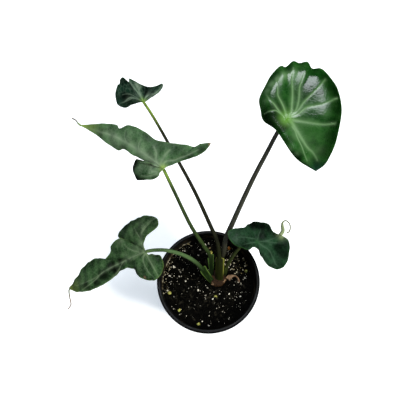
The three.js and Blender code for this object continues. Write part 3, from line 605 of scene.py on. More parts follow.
class Blade:
    """One leaf blade's surface, read at places along its margin and reaches out to it."""

    def __init__(self, key):
        self.key = key
        self.shape = LEAVES[key]
        self.foot = np.array(self.shape["foot"], float)
        self.face = unit(self.shape["face"])
        lobes = self.shape["lobes"]
        margin = []
        self.spans = []
        for index, lobe in enumerate(lobes):
            following = lobes[(index + 1) % len(lobes)]
            around = self.shape["rounds"][index]
            apex = len(margin)
            margin += [lobe["rib"][-1], *lobe["after"], *around, *following["before"]]
            start = apex + len(lobe["after"]) + 1
            end = start + len(around) - 1
            self.spans.append((apex, start, lobe["rib"], 1, 0))
            self.spans.append((start, end, lobe["rib"], 0, 0))
            self.spans.append((end, len(margin), following["rib"], 0, 1))
        self.margin = table_of([*margin, margin[0]], 5)
        self.scallop = self.shape.get("scallop", 1)
        self.calm = self.margin.copy()
        for _ in range(3 if self.scallop > 1 else 0):
            self.calm[2:-2] = (self.calm[1:-3] + 2 * self.calm[2:-2] + self.calm[3:-1]) / 4

    def points(self, places, reaches):
        places, reaches = np.broadcast_arrays(np.asarray(places, float), np.asarray(reaches, float))
        edge = through(self.calm, places)
        waves = through(self.margin, places)[:, :3] - edge[:, :3]
        root = np.zeros((len(places), 3))
        done = np.zeros(len(places), bool)
        for start, end, rib, first, last in self.spans:
            here = (places >= start) & (places <= end) & ~done
            done |= here
            leaves = first + (last - first) * (places[here] - start) / (end - start)
            root[here] = through(table_of([(0, 0, 0), *rib], 3), leaves * len(rib))
        vein = edge[:, :3] - root
        swell = swelling(reaches, self.shape["crest"])[:, None]
        lifted = edge[:, 3:4] * swell * self.face + edge[:, 4:5] * swell * unit(vein)
        flat = self.foot + root + vein * reaches[:, None]
        return flat + lifted + waves * reaches[:, None] ** self.scallop

    def columns(self, spacing):
        """Places along the margin, alike on both flanks of each rib so that they meet."""
        size = []
        for start, end, *_ in self.spans:
            run = through(self.margin, np.linspace(start, end, 60))[:, :3]
            size.append(np.linalg.norm(np.diff(run, axis=0), axis=1).sum())
        counts = [max(2, math.ceil(length / spacing)) for length in size]
        for index in range(0, len(self.spans), 3):
            before = index - 1
            counts[index] = counts[before] = max(counts[index], counts[before])
        places = [
            np.linspace(start, end, count, endpoint=False)
            for (start, end, *_), count in zip(self.spans, counts)
        ]
        return np.concatenate([*places, [self.spans[-1][1]]])

    def spot(self, points, place, reach, radius, power):
        """How strongly a round spot on the blade shows at points; a higher power evens its middle."""
        away = np.linalg.norm(points - self.points([place], [reach])[0], axis=1)
        return np.exp(-((away / radius) ** power))


def ripples(points, wavelength, seed):
    """Smooth waves of a few directions, between about -1 and 1."""
    random = np.random.default_rng(seed)
    total = np.zeros(points.shape[:-1])
    for _ in range(7):
        direction = unit(random.normal(size=3)) * 2 * math.pi / (wavelength * random.uniform(0.7, 1.5))
        total += np.sin(points @ direction + random.uniform(0, 2 * math.pi))
    return total / 3


def distance_to(points, line):
    """Each point's distance to a line of points, and the share of the line where it is nearest."""
    best = np.full(len(points), 1e9)
    share = np.zeros(len(points))
    for index, (start, end) in enumerate(zip(line[:-1], line[1:])):
        along = end - start
        place = np.clip((points - start) @ along / max(along @ along, 1e-9), 0, 1)
        away = np.linalg.norm(points - start - place[:, None] * along, axis=1)
        nearer = away < best
        best[nearer] = away[nearer]
        share[nearer] = (index + place[nearer]) / (len(line) - 1)
    return best, share


def smooth(low, high, values):
    """A soft step from 0 at low to 1 at high."""
    t = np.clip((values - low) / (high - low), 0, 1)
    return t * t * (3 - 2 * t)


def welded(grid):
    """The first of each point that a grid's columns share, and the grid's faces over those."""
    columns, rows, _ = grid.shape
    flat = grid.reshape(-1, 3)
    _, first, number = np.unique(np.round(flat * 1000), axis=0, return_index=True, return_inverse=True)
    number = number.reshape(columns, rows)
    cells = np.stack([number[:-1, :-1], number[:-1, 1:], number[1:, 1:], number[1:, :-1]], -1)
    faces = []
    for cell in cells.reshape(-1, 4).tolist():
        corners = [corner for at, corner in enumerate(cell) if corner != cell[at - 1]]
        if len(set(corners)) >= 3:
            faces.append(corners)
    return first, faces


def crossed(points, faces):
    """Every face as four corners, a triangle's last one twice, with twice its area as a vector."""
    four = np.array([face if len(face) == 4 else [*face, face[2]] for face in faces])
    corners = points[four]
    return four, corners, np.cross(corners[:, 2] - corners[:, 0], corners[:, 3] - corners[:, 1])


def normals_of(points, faces):
    four, _, normals = crossed(points, faces)
    total = np.zeros_like(points)
    for corner in range(4):
        np.add.at(total, four[:, corner], normals)
    return unit(total)


def open_edges(faces):
    """Edges that only one face has, in the direction that it runs along them."""
    edges = {}
    for face in faces:
        for start, end in zip(face, [*face[1:], face[0]]):
            if (end, start) in edges:
                del edges[(end, start)]
            else:
                edges[(start, end)] = True
    return list(edges)


def full_turn(sides):
    return np.linspace(0, 2 * math.pi, sides, endpoint=False)


def ring_faces(count, sides):
    """Faces between each ring of points and the next."""
    faces = []
    for ring in range(count - 1):
        for side in range(sides):
            following = (side + 1) % sides
            low, high = ring * sides, (ring + 1) * sides
            faces.append([low + side, low + following, high + following, high + side])
    return faces


def closed_skin(rings, start, end):
    """Points and faces of a skin over rings, drawn together to a point at its start and end."""
    count, sides, _ = rings.shape
    points = np.concatenate([rings.reshape(-1, 3), [start], [end]])
    faces = ring_faces(count, sides)
    first, last = count * sides, (count - 1) * sides
    for side in range(sides):
        following = (side + 1) % sides
        faces.append([first, following, side])
        faces.append([first + 1, last + side, last + following])
    return points, faces


def tube(rings):
    return closed_skin(rings, rings[0].mean(0), rings[-1].mean(0))


def lathe(profile, sides):
    """A closed skin turned about the pot's axis; the profile starts and ends on the axis."""
    profile = np.array(profile, float)
    away, height = profile[1:-1, :1], profile[1:-1, 1:]
    turn = full_turn(sides)
    rings = np.stack([away * np.cos(turn), away * np.sin(turn), np.repeat(height, sides, 1)], -1)
    return closed_skin(rings, (0, 0, profile[0, 1]), (0, 0, profile[-1, 1]))


def framed(line):
    """Two directions across a line of points, which turn as little as they can."""
    along = unit(np.gradient(line, axis=0))
    across = np.zeros_like(along)
    across[0] = unit(np.cross(along[0], (0.3, 0.2, 1)))
    for index in range(1, len(line)):
        kept = across[index - 1] - along[index] * (across[index - 1] @ along[index])
        across[index] = unit(kept)
    return across, np.cross(along, across)


def round_tube(line, radius, sides, flat=1):
    """A closed skin about a line, with a radius at each point, flattened one way by a share."""
    across, over = framed(line)
    turn = full_turn(sides)[None, :, None]
    ring = np.cos(turn) * across[:, None] + flat * np.sin(turn) * over[:, None]
    return tube(line[:, None] + radius[:, None, None] * ring)


def thread_skin(route, widths, sides=8, steps=10):
    """A thin round thread that narrows over its first half: points, faces and the way along it."""
    line = through(route, np.linspace(0, len(route) - 1, (len(route) - 1) * steps + 1))
    way = np.linspace(0, 1, len(line))
    width = widths[0] + (widths[1] - widths[0]) * smooth(0.1, 0.5, way)
    points, faces = round_tube(line, width / 2, sides)
    return points, faces, np.concatenate([np.repeat(way, sides), [0, 1]])


def faces_out(points, faces):
    """The faces, turned round where the closed skin came out inside out."""
    _, corners, normals = crossed(points, faces)
    volume = (corners.mean(1) * normals).sum()
    return faces if volume >= 0 else [face[::-1] for face in faces]


# Pieces


def piece(name, points, faces, node, material, attributes=None, angle=50):
    """A finished object from points in millimetres, standing for a node of the frame."""
    mesh = bpy.data.meshes.new(name)
    mesh.from_pydata((np.asarray(points) * MM).tolist(), [], faces)
    mesh.update()
    for label, values in (attributes or {}).items():
        kind = "FLOAT" if np.ndim(values) == 1 else "FLOAT_VECTOR"
        field = "value" if kind == "FLOAT" else "vector"
        mesh.attributes.new(label, kind, "POINT").data.foreach_set(field, np.ravel(values))
    made = bpy.data.objects.new(name, mesh)
    return settled(made, node, material, angle)


def settled(made, node, material, angle=50):
    """Shades a new piece, gives it its material and places it in the frame."""
    made.data.shade_smooth()
    made.data.set_sharp_from_angle(angle=math.radians(angle))
    if material:
        made.data.materials.clear()
        made.data.materials.append(material)
    bpy.context.scene.collection.objects.link(made)
    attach(made, "root")
    if node:
        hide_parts(node)
    return made


# Materials


def add(tree, kind, inputs=None, **settings):
    """Adds one node with its settings, the numbers on its sockets and the links into them. A node
    given for a socket is linked from its first output in use."""
    node = tree.nodes.new(kind)
    for name, value in settings.items():
        setattr(node, name, value)
    for socket, value in (inputs or {}).items():
        if isinstance(value, bpy.types.Node):
            value = next(output for output in value.outputs if output.enabled)
        if isinstance(value, bpy.types.NodeSocket):
            tree.links.new(value, node.inputs[socket])
        else:
            node.inputs[socket].default_value = value
    return node


def per(millimetres):
    """The scale of a pattern whose features are this far apart."""
    return 1 / (millimetres * MM)


def start_material(name):
    material = bpy.data.materials.new(name)
    material.use_nodes = True
    material.node_tree.nodes.clear()
    return material, material.node_tree


def spots(tree, where, *kinds):
    """Patterns of soft spots, each with its spots' size in millimetres, its detail and roughness."""
    return [
        add(tree, "ShaderNodeTexNoise", {
            "Vector": where, "Scale": per(size), "Detail": detail, "Roughness": rough,
        })
        for size, detail, rough in kinds
    ]


def coated(tree, base, coats):
    """Lays coats over a base. Each has a pattern, or the name of a painted one, then if it isn't laid
    on evenly where in the pattern it starts and is full, then its strength and its colour."""
    colour = shown(base)
    for pattern, *span, strength, coat in coats:
        if isinstance(pattern, str):
            pattern = add(tree, "ShaderNodeAttribute", attribute_name=pattern).outputs["Fac"]
        if span:
            start, full = span
            share = add(tree, "ShaderNodeMapRange", {
                "Value": pattern, "From Min": start, "From Max": full, "To Max": strength,
            }, interpolation_type="SMOOTHSTEP")
        else:
            share = add(tree, "ShaderNodeMath", {0: pattern, 1: strength}, operation="MULTIPLY")
        inputs = {FACTOR: share, FIRST: colour, SECOND: shown(coat)}
        colour = add(tree, "ShaderNodeMix", inputs, data_type="RGBA")
    return colour


def finish_material(tree, looks, reliefs=()):
    """Adds the shader with its looks, over reliefs from a height, a depth and a strength each."""
    under = {}
    for height, depth, strength in reliefs:
        relief = {"Height": height, "Distance": depth * MM, "Strength": strength}
        under = {"Normal": add(tree, "ShaderNodeBump", {**relief, **under})}
    shader = add(tree, "ShaderNodeBsdfPrincipled", {**looks, **under})
    add(tree, "ShaderNodeOutputMaterial", {"Surface": shader})


def plastic_material(settings):
    """Black moulded plastic: soft reflections, faint mould grain and dry soil streaked on the wall."""
    material, tree = start_material("black_moulded_plastic")
    where = add(tree, "ShaderNodeTexCoord").outputs["Object"]
    grain, cloud, flakes = spots(tree, where, (0.5, 2, 0.55), (9, 3, 0.55), (1.6, 4, 0.7))
    dirt = add(tree, "ShaderNodeAttribute", attribute_name="inner").outputs["Fac"]
    for pattern, start, full in ((cloud, 0.45, 0.65), (flakes, 0.48, 0.62)):
        share = add(tree, "ShaderNodeMapRange", {
            "Value": pattern, "From Min": start, "From Max": full,
        }, interpolation_type="SMOOTHSTEP")
        dirt = add(tree, "ShaderNodeMath", {0: dirt, 1: share}, operation="MULTIPLY")
    colour = coated(tree, (*settings.plastic, 1), [
        (cloud, 0.35, 0.7, 1, "#12140f"),
        (dirt, 1, (*settings.dust, 1)),
    ])
    rough = add(tree, "ShaderNodeMapRange", {
        "Value": cloud, "From Min": 0.3, "From Max": 0.7,
        "To Min": settings.gloss - 0.06, "To Max": settings.gloss + 0.1,
    }, interpolation_type="SMOOTHSTEP")
    rougher = add(tree, "ShaderNodeMath", {0: rough, 1: dirt}, operation="ADD", use_clamp=True)
    looks = {"Base Color": colour, "Roughness": rougher, "Specular IOR Level": 0.22}
    finish_material(tree, looks, [(grain, 0.03, 0.5)])
    return material


def peat_material(settings):
    """Damp peat: nearly black, with browner crumbs, and dull so that it drinks the light."""
    material, tree = start_material("damp_peat")
    where = add(tree, "ShaderNodeTexCoord").outputs["Object"]
    clods, crumbs = spots(tree, where, (3.5, 5, 0.65), (0.7, 3, 0.6))
    colour = coated(tree, (*settings.peat, 1), [
        (clods, 0.45, 0.75, 1, "#0e0c08"),
        ("tone", 0.5, "#100e0a"),
        (crumbs, 0.6, 0.35, 1, "#020202"),
    ])
    looks = {"Base Color": colour, "Roughness": 1.0, "Specular IOR Level": 0.06}
    finish_material(tree, looks, [(crumbs, 0.35, 1)])
    return material


def bark_material(settings):
    """Bark chips and fibres: warm browns that differ from one piece to the next."""
    material, tree = start_material("bark_fibre")
    where = add(tree, "ShaderNodeTexCoord").outputs["Object"]
    [streaks] = spots(tree, where, (0.6, 4, 0.6))
    colour = coated(tree, "#0a0806", [
        ("tone", 1, (*settings.bark, 1)),
        (streaks, 0.5, 0.7, 0.5, "#4f4c38"),
    ])
    looks = {"Base Color": colour, "Roughness": 0.9, "Specular IOR Level": 0.12}
    finish_material(tree, looks, [(streaks, 0.15, 1)])
    return material


def perlite_material(settings):
    """Perlite: chalky white, pitted, with a little peat rubbed into its hollows."""
    material, tree = start_material("perlite_grain")
    where = add(tree, "ShaderNodeTexCoord").outputs["Object"]
    pits, stain = spots(tree, where, (0.5, 4, 0.65), (2.2, 2, 0.55))
    colour = coated(tree, (*settings.perlite, 1), [
        ("tone", 0.6, "#9a917c"),
        (stain, 0.52, 0.68, 0.75, "#4a3c2e"),
        (pits, 0.5, 0.3, 0.5, "#5e5243"),
    ])
    looks = {"Base Color": colour, "Roughness": 0.85, "Specular IOR Level": 0.2}
    finish_material(tree, looks, [(pits, 0.2, 1)])
    return material


def crust_material():
    """Dried crust and coarse sand: cream, ochre and brown grains, each of its own tone."""
    material, tree = start_material("dried_crust_grain")
    where = add(tree, "ShaderNodeTexCoord").outputs["Object"]
    [pits] = spots(tree, where, (0.6, 3, 0.6))
    colour = coated(tree, "#4a3c22", [
        ("tone", 0.1, 0.5, 1, "#a89a6e"),
        ("tone", 0.6, 0.95, 1, "#f0e8c8"),
        (pits, 0.5, 0.3, 0.6, "#2e2616"),
    ])
    looks = {"Base Color": colour, "Roughness": 0.9, "Specular IOR Level": 0.15}
    finish_material(tree, looks, [(pits, 0.15, 1)])
    return material


def bead_material(name, skin, cloudy):
    """Slow release bead: a waxy skin with a soft gleam, yellow-green, or amber when it is fresh."""
    material, tree = start_material(name)
    where = add(tree, "ShaderNodeTexCoord").outputs["Object"]
    [cloud] = spots(tree, where, (1.4, 2, 0.55))
    looks = {
        "Base Color": coated(tree, skin, [(cloud, 0.4, 0.65, 1, cloudy)]),
        "Roughness": 0.32,
        "Subsurface Weight": 0.2,
        "Subsurface Scale": 0.5 * MM,
    }
    finish_material(tree, looks, [(cloud, 0.1, 1)])
    return material


def corm_material():
    """Corky corm skin: rings of old leaf scars, brown with paler torn patches."""
    material, tree = start_material("corky_corm_skin")
    where = add(tree, "ShaderNodeTexCoord").outputs["Object"]
    cork, patch = spots(tree, where, (1.1, 5, 0.7), (4.5, 3, 0.55))
    scars = add(tree, "ShaderNodeTexWave", {
        "Vector": where, "Scale": per(2.6), "Distortion": 6.0, "Detail": 3.0, "Detail Scale": 1.5,
    }, bands_direction="Z").outputs["Fac"]
    colour = coated(tree, "#261b10", [
        (cork, 0.4, 0.65, 1, "#543a20"),
        (patch, 0.6, 0.7, 1, "#c4a078"),
        (scars, 0.35, 0, 0.7, "#2a1a10"),
    ])
    looks = {"Base Color": colour, "Roughness": 0.8, "Specular IOR Level": 0.25}
    finish_material(tree, looks, [(cork, 0.4, 1)])
    return material


def husk_material():
    """Dry sheath: papery tan fibre, with paler streaks along it."""
    material, tree = start_material("papery_dry_sheath")
    grain = add(tree, "ShaderNodeAttribute", attribute_name="grain").outputs["Vector"]
    [fibres] = spots(tree, grain, (0.5, 4, 0.6))
    colour = coated(tree, "#7a5c42", [(fibres, 0.35, 0.65, 1, "#d8b490")])
    looks = {"Base Color": colour, "Roughness": 0.7, "Specular IOR Level": 0.3}
    finish_material(tree, looks, [(fibres, 0.15, 1)])
    return material


# Colours of each stalk: at its foot, along it, under the blade, its streaks and its sheath's edge
STALK_COLOURS = {
    "a": ("#302e1c", "#4e5044", "#4a4d42", "#26261c", "#6b6a44"),
    "b": ("#2c3412", "#2e3022", "#8aac3c", "#1e2016", "#c2c85a"),
    "c": ("#142410", "#42582c", "#86ac42", "#243218", "#7ca850"),
    "d": ("#18280e", "#628250", "#80a064", "#38542a", "#8cb454"),
    "e": ("#343f1c", "#444f28", "#55743a", "#28321c", "#7f9a48"),
}

# Where along each stalk the dark colour of its foot starts to fade and where it ends, as shares
FOOT_FADES = {
    "a": (0.04, 0.28),
    "b": (0.06, 0.3),
    "c": (0.1, 0.36),
    "d": (0.2, 0.6),
    "e": (0.04, 0.28),
}


def stalk_material(key):
    """Fleshy stalk skin: fine streaks along it, freckles, and a satin sheen."""
    foot, body, neck, streak, lip = STALK_COLOURS[key]
    material, tree = start_material(f"stalk_skin_{key}")
    where = add(tree, "ShaderNodeTexCoord").outputs["Object"]
    grain = add(tree, "ShaderNodeAttribute", attribute_name="grain").outputs["Vector"]
    [fibres] = spots(tree, grain, (0.7, 3, 0.6))
    [freckles] = spots(tree, where, (1.3, 3, 0.6))
    colour = coated(tree, foot, [
        ("along", *FOOT_FADES[key], 1, body),
        ("along", 0.85, 0.99, 1, neck),
        (fibres, 0.5, 0.68, 0.8, streak),
        (freckles, 0.56, 0.68, 0.5, streak),
        ("lip", 1, lip),
    ])
    sheen = add(tree, "ShaderNodeMapRange", {
        "Value": freckles, "From Min": 0.3, "From Max": 0.7, "To Min": 0.36, "To Max": 0.5,
    }, interpolation_type="SMOOTHSTEP")
    looks = {"Base Color": colour, "Roughness": sheen, "Specular IOR Level": 0.16}
    finish_material(tree, looks, [(fibres, 0.06, 1)])
    return material


# Colours of each blade: deep and bright flesh, veins, margin, by the stalk, tip and underside,
# then its roughness, how much it mirrors, and how strongly its veins and the flesh along them show
# The deep colour also darkens the painted shade, and the vein colour also tints the painted light and
# highlight
BLADE_LOOKS = {
    "a": (
        ("#0f4410", "#2a6422", "#86b07a", "#4f8a3c", "#68a434", "#1d4230", "#6a8a58"),
        0.2, 0.6, 1, 0.36,
    ),
    "b": (
        ("#0c2e1e", "#1d4430", "#8fa890", "#55754a", "#7fa84a", "#1f4030", "#65806b"),
        0.5, 0.14, 0.7, 0.15,
    ),
    "c": (
        ("#204a20", "#4e7a4a", "#9ab391", "#6f9258", "#9fc45a", "#9fc05a", "#6f8f62"),
        0.5, 0.2, 0.55, 0.5,
    ),
    "d": (
        ("#183c18", "#41683a", "#93ab85", "#86a650", "#9ab684", "#6d7f34", "#6c8a5c"),
        0.5, 0.16, 0.6, 0.35,
    ),
    "e": (
        ("#082612", "#22492c", "#587a60", "#40782e", "#2c5a34", "#a3b584", "#57704f"),
        0.5, 0.16, 0.6, 0.2,
    ),
}

# How strongly the net of fine veins is painted, and the depth of the skin's cells in millimetres
NETS = {"a": (0.04, 0.004), "b": (0.16, 0.012), "c": (0.16, 0.012), "d": (0.16, 0.012), "e": (0.16, 0.012)}

# How large the wrinkles between the veins are, in millimetres, and how deep
WRINKLES = {"a": (8, 0.3), "b": (3.2, 0.3), "c": (3.2, 0.3), "d": (3.6, 0.85), "e": (4.5, 0.6)}

# For each blade the height of its ripples against the usual, their length and how far the flesh
# dips towards its veins in millimetres, and the strength of its ribs
BLADE_FORM = {
    "a": (0.3, 17, 0.1, 0),
    "b": (0.7, 9, 0.3, 0.5),
    "c": (1.2, 12, 0.5, 1.6),
    "d": (1.9, 10, 0.7, 1),
    "e": (1.5, 10, 0.5, 0.6),
}

# Threads at the tips: their widths in millimetres where they start and end, and how dry they are
THREADS = {"c": (1.4, 1, 0.8), "d": (1.5, 1.2, 1), "e": (3.8, 1.2, 0.3)}

# How wide the paler margin of each blade is, in millimetres, and how strongly it shows
MARGINS = {"a": (0.5, 0.6), "b": (0.6, 0.4), "c": (0.7, 0.45), "d": (0.7, 0.45), "e": (0.6, 0.5)}

# How far the paler flesh by the stalk spreads, and how far the tip's own colour does
HEARTS = {"a": 4.6, "b": 2.6, "c": 2.8, "d": 3, "e": 3}
TIPS = {"a": 7, "b": 5, "c": 13, "d": 10, "e": 4}

# Dried spots: places along the margin, reaches and radii
DRY_SPOTS = {"d": [(7.9, 0.88, 1.6)], "c": [(19.6, 1, 1.5)]}


def blade_material(key):
    """Leaf flesh: mottled green netted with fine veins, paler ribs and margin, and a waxy sheen."""
    (deep, bright, vein, rim, heart, tip, back), rough, mirror, veins, bands = BLADE_LOOKS[key]
    wrinkle, wrinkle_depth = WRINKLES[key]
    netting, cell_depth = NETS[key]
    material, tree = start_material(f"leaf_flesh_{key}")
    where = add(tree, "ShaderNodeTexCoord").outputs["Object"]
    clouds, mottle = spots(tree, where, (12, 2, 0.5), (1.5, 4, 0.65))
    cells, wrinkles = spots(tree, where, (0.35, 2, 0.55), (wrinkle, 3, 0.5))
    net = add(tree, "ShaderNodeTexVoronoi", {
        "Vector": where, "Scale": per(2.6),
    }, feature="DISTANCE_TO_EDGE")
    threads = add(tree, "ShaderNodeMapRange", {
        "Value": net, "From Max": 0.16, "To Min": 1.0, "To Max": 0.0,
    }, interpolation_type="SMOOTHSTEP")
    flesh = coated(tree, deep, [
        (clouds, 0.38, 0.62, 1, bright),
        (mottle, 0.48, 0.7, 0.5, bright),
        (mottle, 0.5, 0.3, 0.5, deep),
        (threads, netting, vein),
    ])
    # Painted shade: the flesh is darkened towards its deep colour where the shade pattern is set
    shade = add(tree, "ShaderNodeAttribute", attribute_name="shade").outputs["Fac"]
    shaded = add(tree, "ShaderNodeMix", {
        FACTOR: shade, FIRST: flesh, SECOND: shown(deep),
    }, data_type="RGBA", blend_type="MULTIPLY")
    colour = coated(tree, shaded, [
        # Painted light and highlight: the pale pattern lightens the flesh towards the vein colour
        ("pale", 0.8, vein),
        ("halo", bands, vein),
        ("vein", veins, vein),
        ("rim", 1, rim),
        ("heart", 1, heart),
        ("tip", 1, tip),
        ("dry", 1, "#9a8062"),
        ("under", 1, back),
    ])
    sheen = add(tree, "ShaderNodeMapRange", {
        "Value": clouds, "From Min": 0.3, "From Max": 0.7,
        "To Min": rough - 0.05, "To Max": rough + 0.08,
    }, interpolation_type="SMOOTHSTEP")
    looks = {"Base Color": colour, "Roughness": sheen, "Specular IOR Level": mirror}
    finish_material(tree, looks, [
        (wrinkles, wrinkle_depth, 0.6),
        (threads, -0.04, 0.5),
        (cells, cell_depth, 0.5),
    ])
    return material


# The pot


def wall_radius(height):
    """The pot's outer radius at a height under its rim."""
    share = height / (POT_HEIGHT - RIM_HEIGHT)
    return BASE_DIAMETER / 2 + (RIM_DIAMETER / 2 - RIM_WIDTH + WALL - BASE_DIAMETER / 2) * share


def rounded(profile, keep, steps=4):
    """The profile with its rim's corners drawn as curves, from the first to the last kept point."""
    first, last = keep
    rows = np.array(profile, float)
    curve = through(rows[first : last + 1], np.linspace(0, last - first, (last - first) * steps + 1))
    return [*rows[:first].tolist(), *curve.tolist(), *rows[last + 1 :].tolist()]


class ALOCASIA_OT_pot(bpy.types.Operator):
    """Adds the round nursery pot with its rim band and drain holes"""

    bl_idname = "alocasia.pot"
    bl_label = "Pot"

    def execute(self, context):
        rim = RIM_DIAMETER / 2
        ledge = POT_HEIGHT - RIM_HEIGHT
        profile = [
            (0, 0),
            (BASE_DIAMETER / 2 - 1.2, 0),
            (wall_radius(1.2), 1.2),
            (wall_radius(ledge - 0.5), ledge - 0.5),
            (rim - 0.7, ledge + 0.6),
            (rim - 0.3, ledge + 1.4),
            (rim, POT_HEIGHT - 2.2),
            (rim - 0.4, POT_HEIGHT - 0.7),
            (rim - 1.3, POT_HEIGHT),
            (rim - RIM_WIDTH + 0.9, POT_HEIGHT),
            (rim - RIM_WIDTH + 0.2, POT_HEIGHT - 0.5),
            (rim - RIM_WIDTH, POT_HEIGHT - 1.6),
            (wall_radius(ledge) - WALL, ledge),
            (wall_radius(SOIL_TOP - 2) - WALL, SOIL_TOP - 2),
            (wall_radius(FLOOR) - WALL, FLOOR + 0.4),
            (wall_radius(FLOOR) - WALL - 0.6, FLOOR),
            (0, FLOOR),
        ]
        points, faces = lathe(rounded(profile, (5, 11)), 144)
        radius = np.hypot(points[:, 0], points[:, 1])
        inside = (radius < wall_radius(points[:, 2]) - WALL / 2) & (points[:, 2] > SOIL_TOP - 3)
        streak = inside * smooth(POT_HEIGHT - 1, SOIL_TOP + 3, points[:, 2])
        made = piece(
            "nursery_pot", points, faces_out(points, faces), "pot",
            plastic_material(context.scene.alocasia_pot), {"inner": streak}, 35,
        )
        for index in range(DRAIN_COUNT):
            turn = 2 * math.pi * (index + 0.5) / DRAIN_COUNT
            bpy.ops.mesh.primitive_cylinder_add(
                vertices=32, radius=DRAIN_DIAMETER / 2 * MM, depth=12 * MM,
                location=(
                    BASE_DIAMETER / 2 * math.cos(turn) * MM,
                    BASE_DIAMETER / 2 * math.sin(turn) * MM,
                    DRAIN_HEIGHT * MM,
                ),
                rotation=(0, math.pi / 2, turn),
            )
            drill = context.active_object
            hole = made.modifiers.new(f"drain_{index}", "BOOLEAN")
            hole.object = drill
            hole.solver = "EXACT"
            plain = bpy.data.meshes.new_from_object(made.evaluated_get(context.evaluated_depsgraph_get()))
            made.modifiers.clear()
            made.data = plain
            bpy.data.objects.remove(drill)
        return {"FINISHED"}


# The potting mix


def lumps(x, y):
    """Shallow mounds and hollows over the mix, alike in the frame."""
    long = np.sin(x * 0.21 + 1.3) * np.cos(y * 0.19 - 0.4)
    short = np.sin(x * 0.53 + y * 0.31) * np.cos(y * 0.61 - x * 0.17 + 2)
    return 0.5 * long + 0.5 * short


def soil_height(x, y):
    """The frame's surface of the mix, level by the corm."""
    calm = smooth(12, 22, np.hypot(x - CORM_CENTRE[0], y - CORM_CENTRE[1]))
    return SOIL_TOP + SOIL_ROUGHNESS * calm * lumps(x, y)


def crumbly_height(x, y):
    """The mix's surface with its crumbs, a little above and below the frame's."""
    points = np.stack([x, y, 0 * x], -1)
    crumbs = 0.45 * ripples(points, 7, 3) + 0.35 * ripples(points, 3.2, 4) + 0.2 * ripples(points, 1.6, 5)
    edge = smooth(47.5, 44, np.hypot(x, y))
    return soil_height(x, y) + crumbs * (0.4 + 0.6 * edge)


def seeded_random(seed):
    """Endless random shares, the same ones as in the frame."""
    state = seed
    while True:
        state = state * 16807 % 2147483647
        yield state / 2147483647


def perlite_places():
    """Where the larger perlite lies, with its radius, by the same rule and order as the frame's."""
    random = seeded_random(PERLITE_SEED)
    reach = wall_radius(SOIL_TOP) - WALL - 4
    places = []
    while len(places) < PERLITE_COUNT:
        away = reach * math.sqrt(next(random))
        turn = 2 * math.pi * next(random)
        radius = PERLITE_SIZE[0] + (PERLITE_SIZE[1] - PERLITE_SIZE[0]) * next(random) ** 2
        x, y = away * math.cos(turn), away * math.sin(turn)
        if math.hypot(x - CORM_CENTRE[0], y - CORM_CENTRE[1]) > CORM_RADIUS + 5:
            next(random)
            next(random)
            places.append((x, y, radius))
    return places


def group_input(tree, name, kind):
    return tree.interface.new_socket(name=name, in_out="INPUT", socket_type=kind)


def open_tree(name):
    """Starts a tree of nodes with the inputs that all grains share."""
    tree = bpy.data.node_groups.new(name, "GeometryNodeTree")
    group_input(tree, "Ground", "NodeSocketGeometry")
    tree.interface.new_socket(name="Geometry", in_out="OUTPUT", socket_type="NodeSocketGeometry")
    group_input(tree, "Grains", "NodeSocketCollection")
    group_input(tree, "Finish", "NodeSocketMaterial")
    group_input(tree, "Tilt", "NodeSocketFloat")
    group_input(tree, "Seed", "NodeSocketInt")
    return tree


def close_tree(tree, source, points, scale):
    """Puts a grain on every point, turned at random, and makes plain faces of them."""
    grains = add(tree, "GeometryNodeCollectionInfo", {
        "Collection": source["Grains"], "Separate Children": True, "Reset Children": True,
    })
    turned = add(tree, "FunctionNodeRandomValue", {
        VECTOR_MIN: (-1, -1, 0), VECTOR_MAX: (1, 1, 2 * math.pi), "Seed": source["Seed"],
    }, data_type="FLOAT_VECTOR")
    tilt = add(tree, "ShaderNodeCombineXYZ", {"X": source["Tilt"], "Y": source["Tilt"], "Z": 1.0})
    turns = add(tree, "ShaderNodeVectorMath", {0: turned, 1: tilt}, operation="MULTIPLY")
    placed = add(tree, "GeometryNodeInstanceOnPoints", {
        "Points": points, "Instance": grains, "Pick Instance": True, "Rotation": turns, "Scale": scale,
    })
    tone = add(tree, "FunctionNodeRandomValue", {
        NUMBER_MIN: 0.0, NUMBER_MAX: 1.0, "Seed": source["Seed"],
    }, data_type="FLOAT")
    toned = add(tree, "GeometryNodeStoreNamedAttribute", {
        "Geometry": placed, "Name": "tone", "Value": tone,
    }, data_type="FLOAT", domain="INSTANCE")
    plain = add(tree, "GeometryNodeRealizeInstances", {"Geometry": toned})
    dressed = add(tree, "GeometryNodeSetMaterial", {"Geometry": plain, "Material": source["Finish"]})
    add(tree, "NodeGroupOutput", {"Geometry": dressed})
    return tree


def strewn_tree():
    """Grains strewn over a ground at a density, each at a random size."""
    tree = open_tree("strewn_grains")
    for name in ("Smallest", "Largest", "Density"):
        group_input(tree, name, "NodeSocketFloat")
    source = add(tree, "NodeGroupInput").outputs
    points = add(tree, "GeometryNodeDistributePointsOnFaces", {
        "Mesh": source["Ground"], "Density": source["Density"], "Seed": source["Seed"],
    })
    share = add(tree, "FunctionNodeRandomValue", {
        NUMBER_MIN: 0.0, NUMBER_MAX: 1.0, "Seed": source["Seed"],
    }, data_type="FLOAT")
    skewed = add(tree, "ShaderNodeMath", {0: share, 1: 2.2}, operation="POWER")
    size = add(tree, "ShaderNodeMapRange", {
        "Value": skewed, "To Min": source["Smallest"], "To Max": source["Largest"],
    })
    return close_tree(tree, source, points, size)


def laid_tree():
    """Grains laid on given points, each at the size stored there."""
    tree = open_tree("laid_grains")
    source = add(tree, "NodeGroupInput").outputs
    size = add(tree, "GeometryNodeInputNamedAttribute", {"Name": "size"}, data_type="FLOAT")
    return close_tree(tree, source, source["Ground"], size)


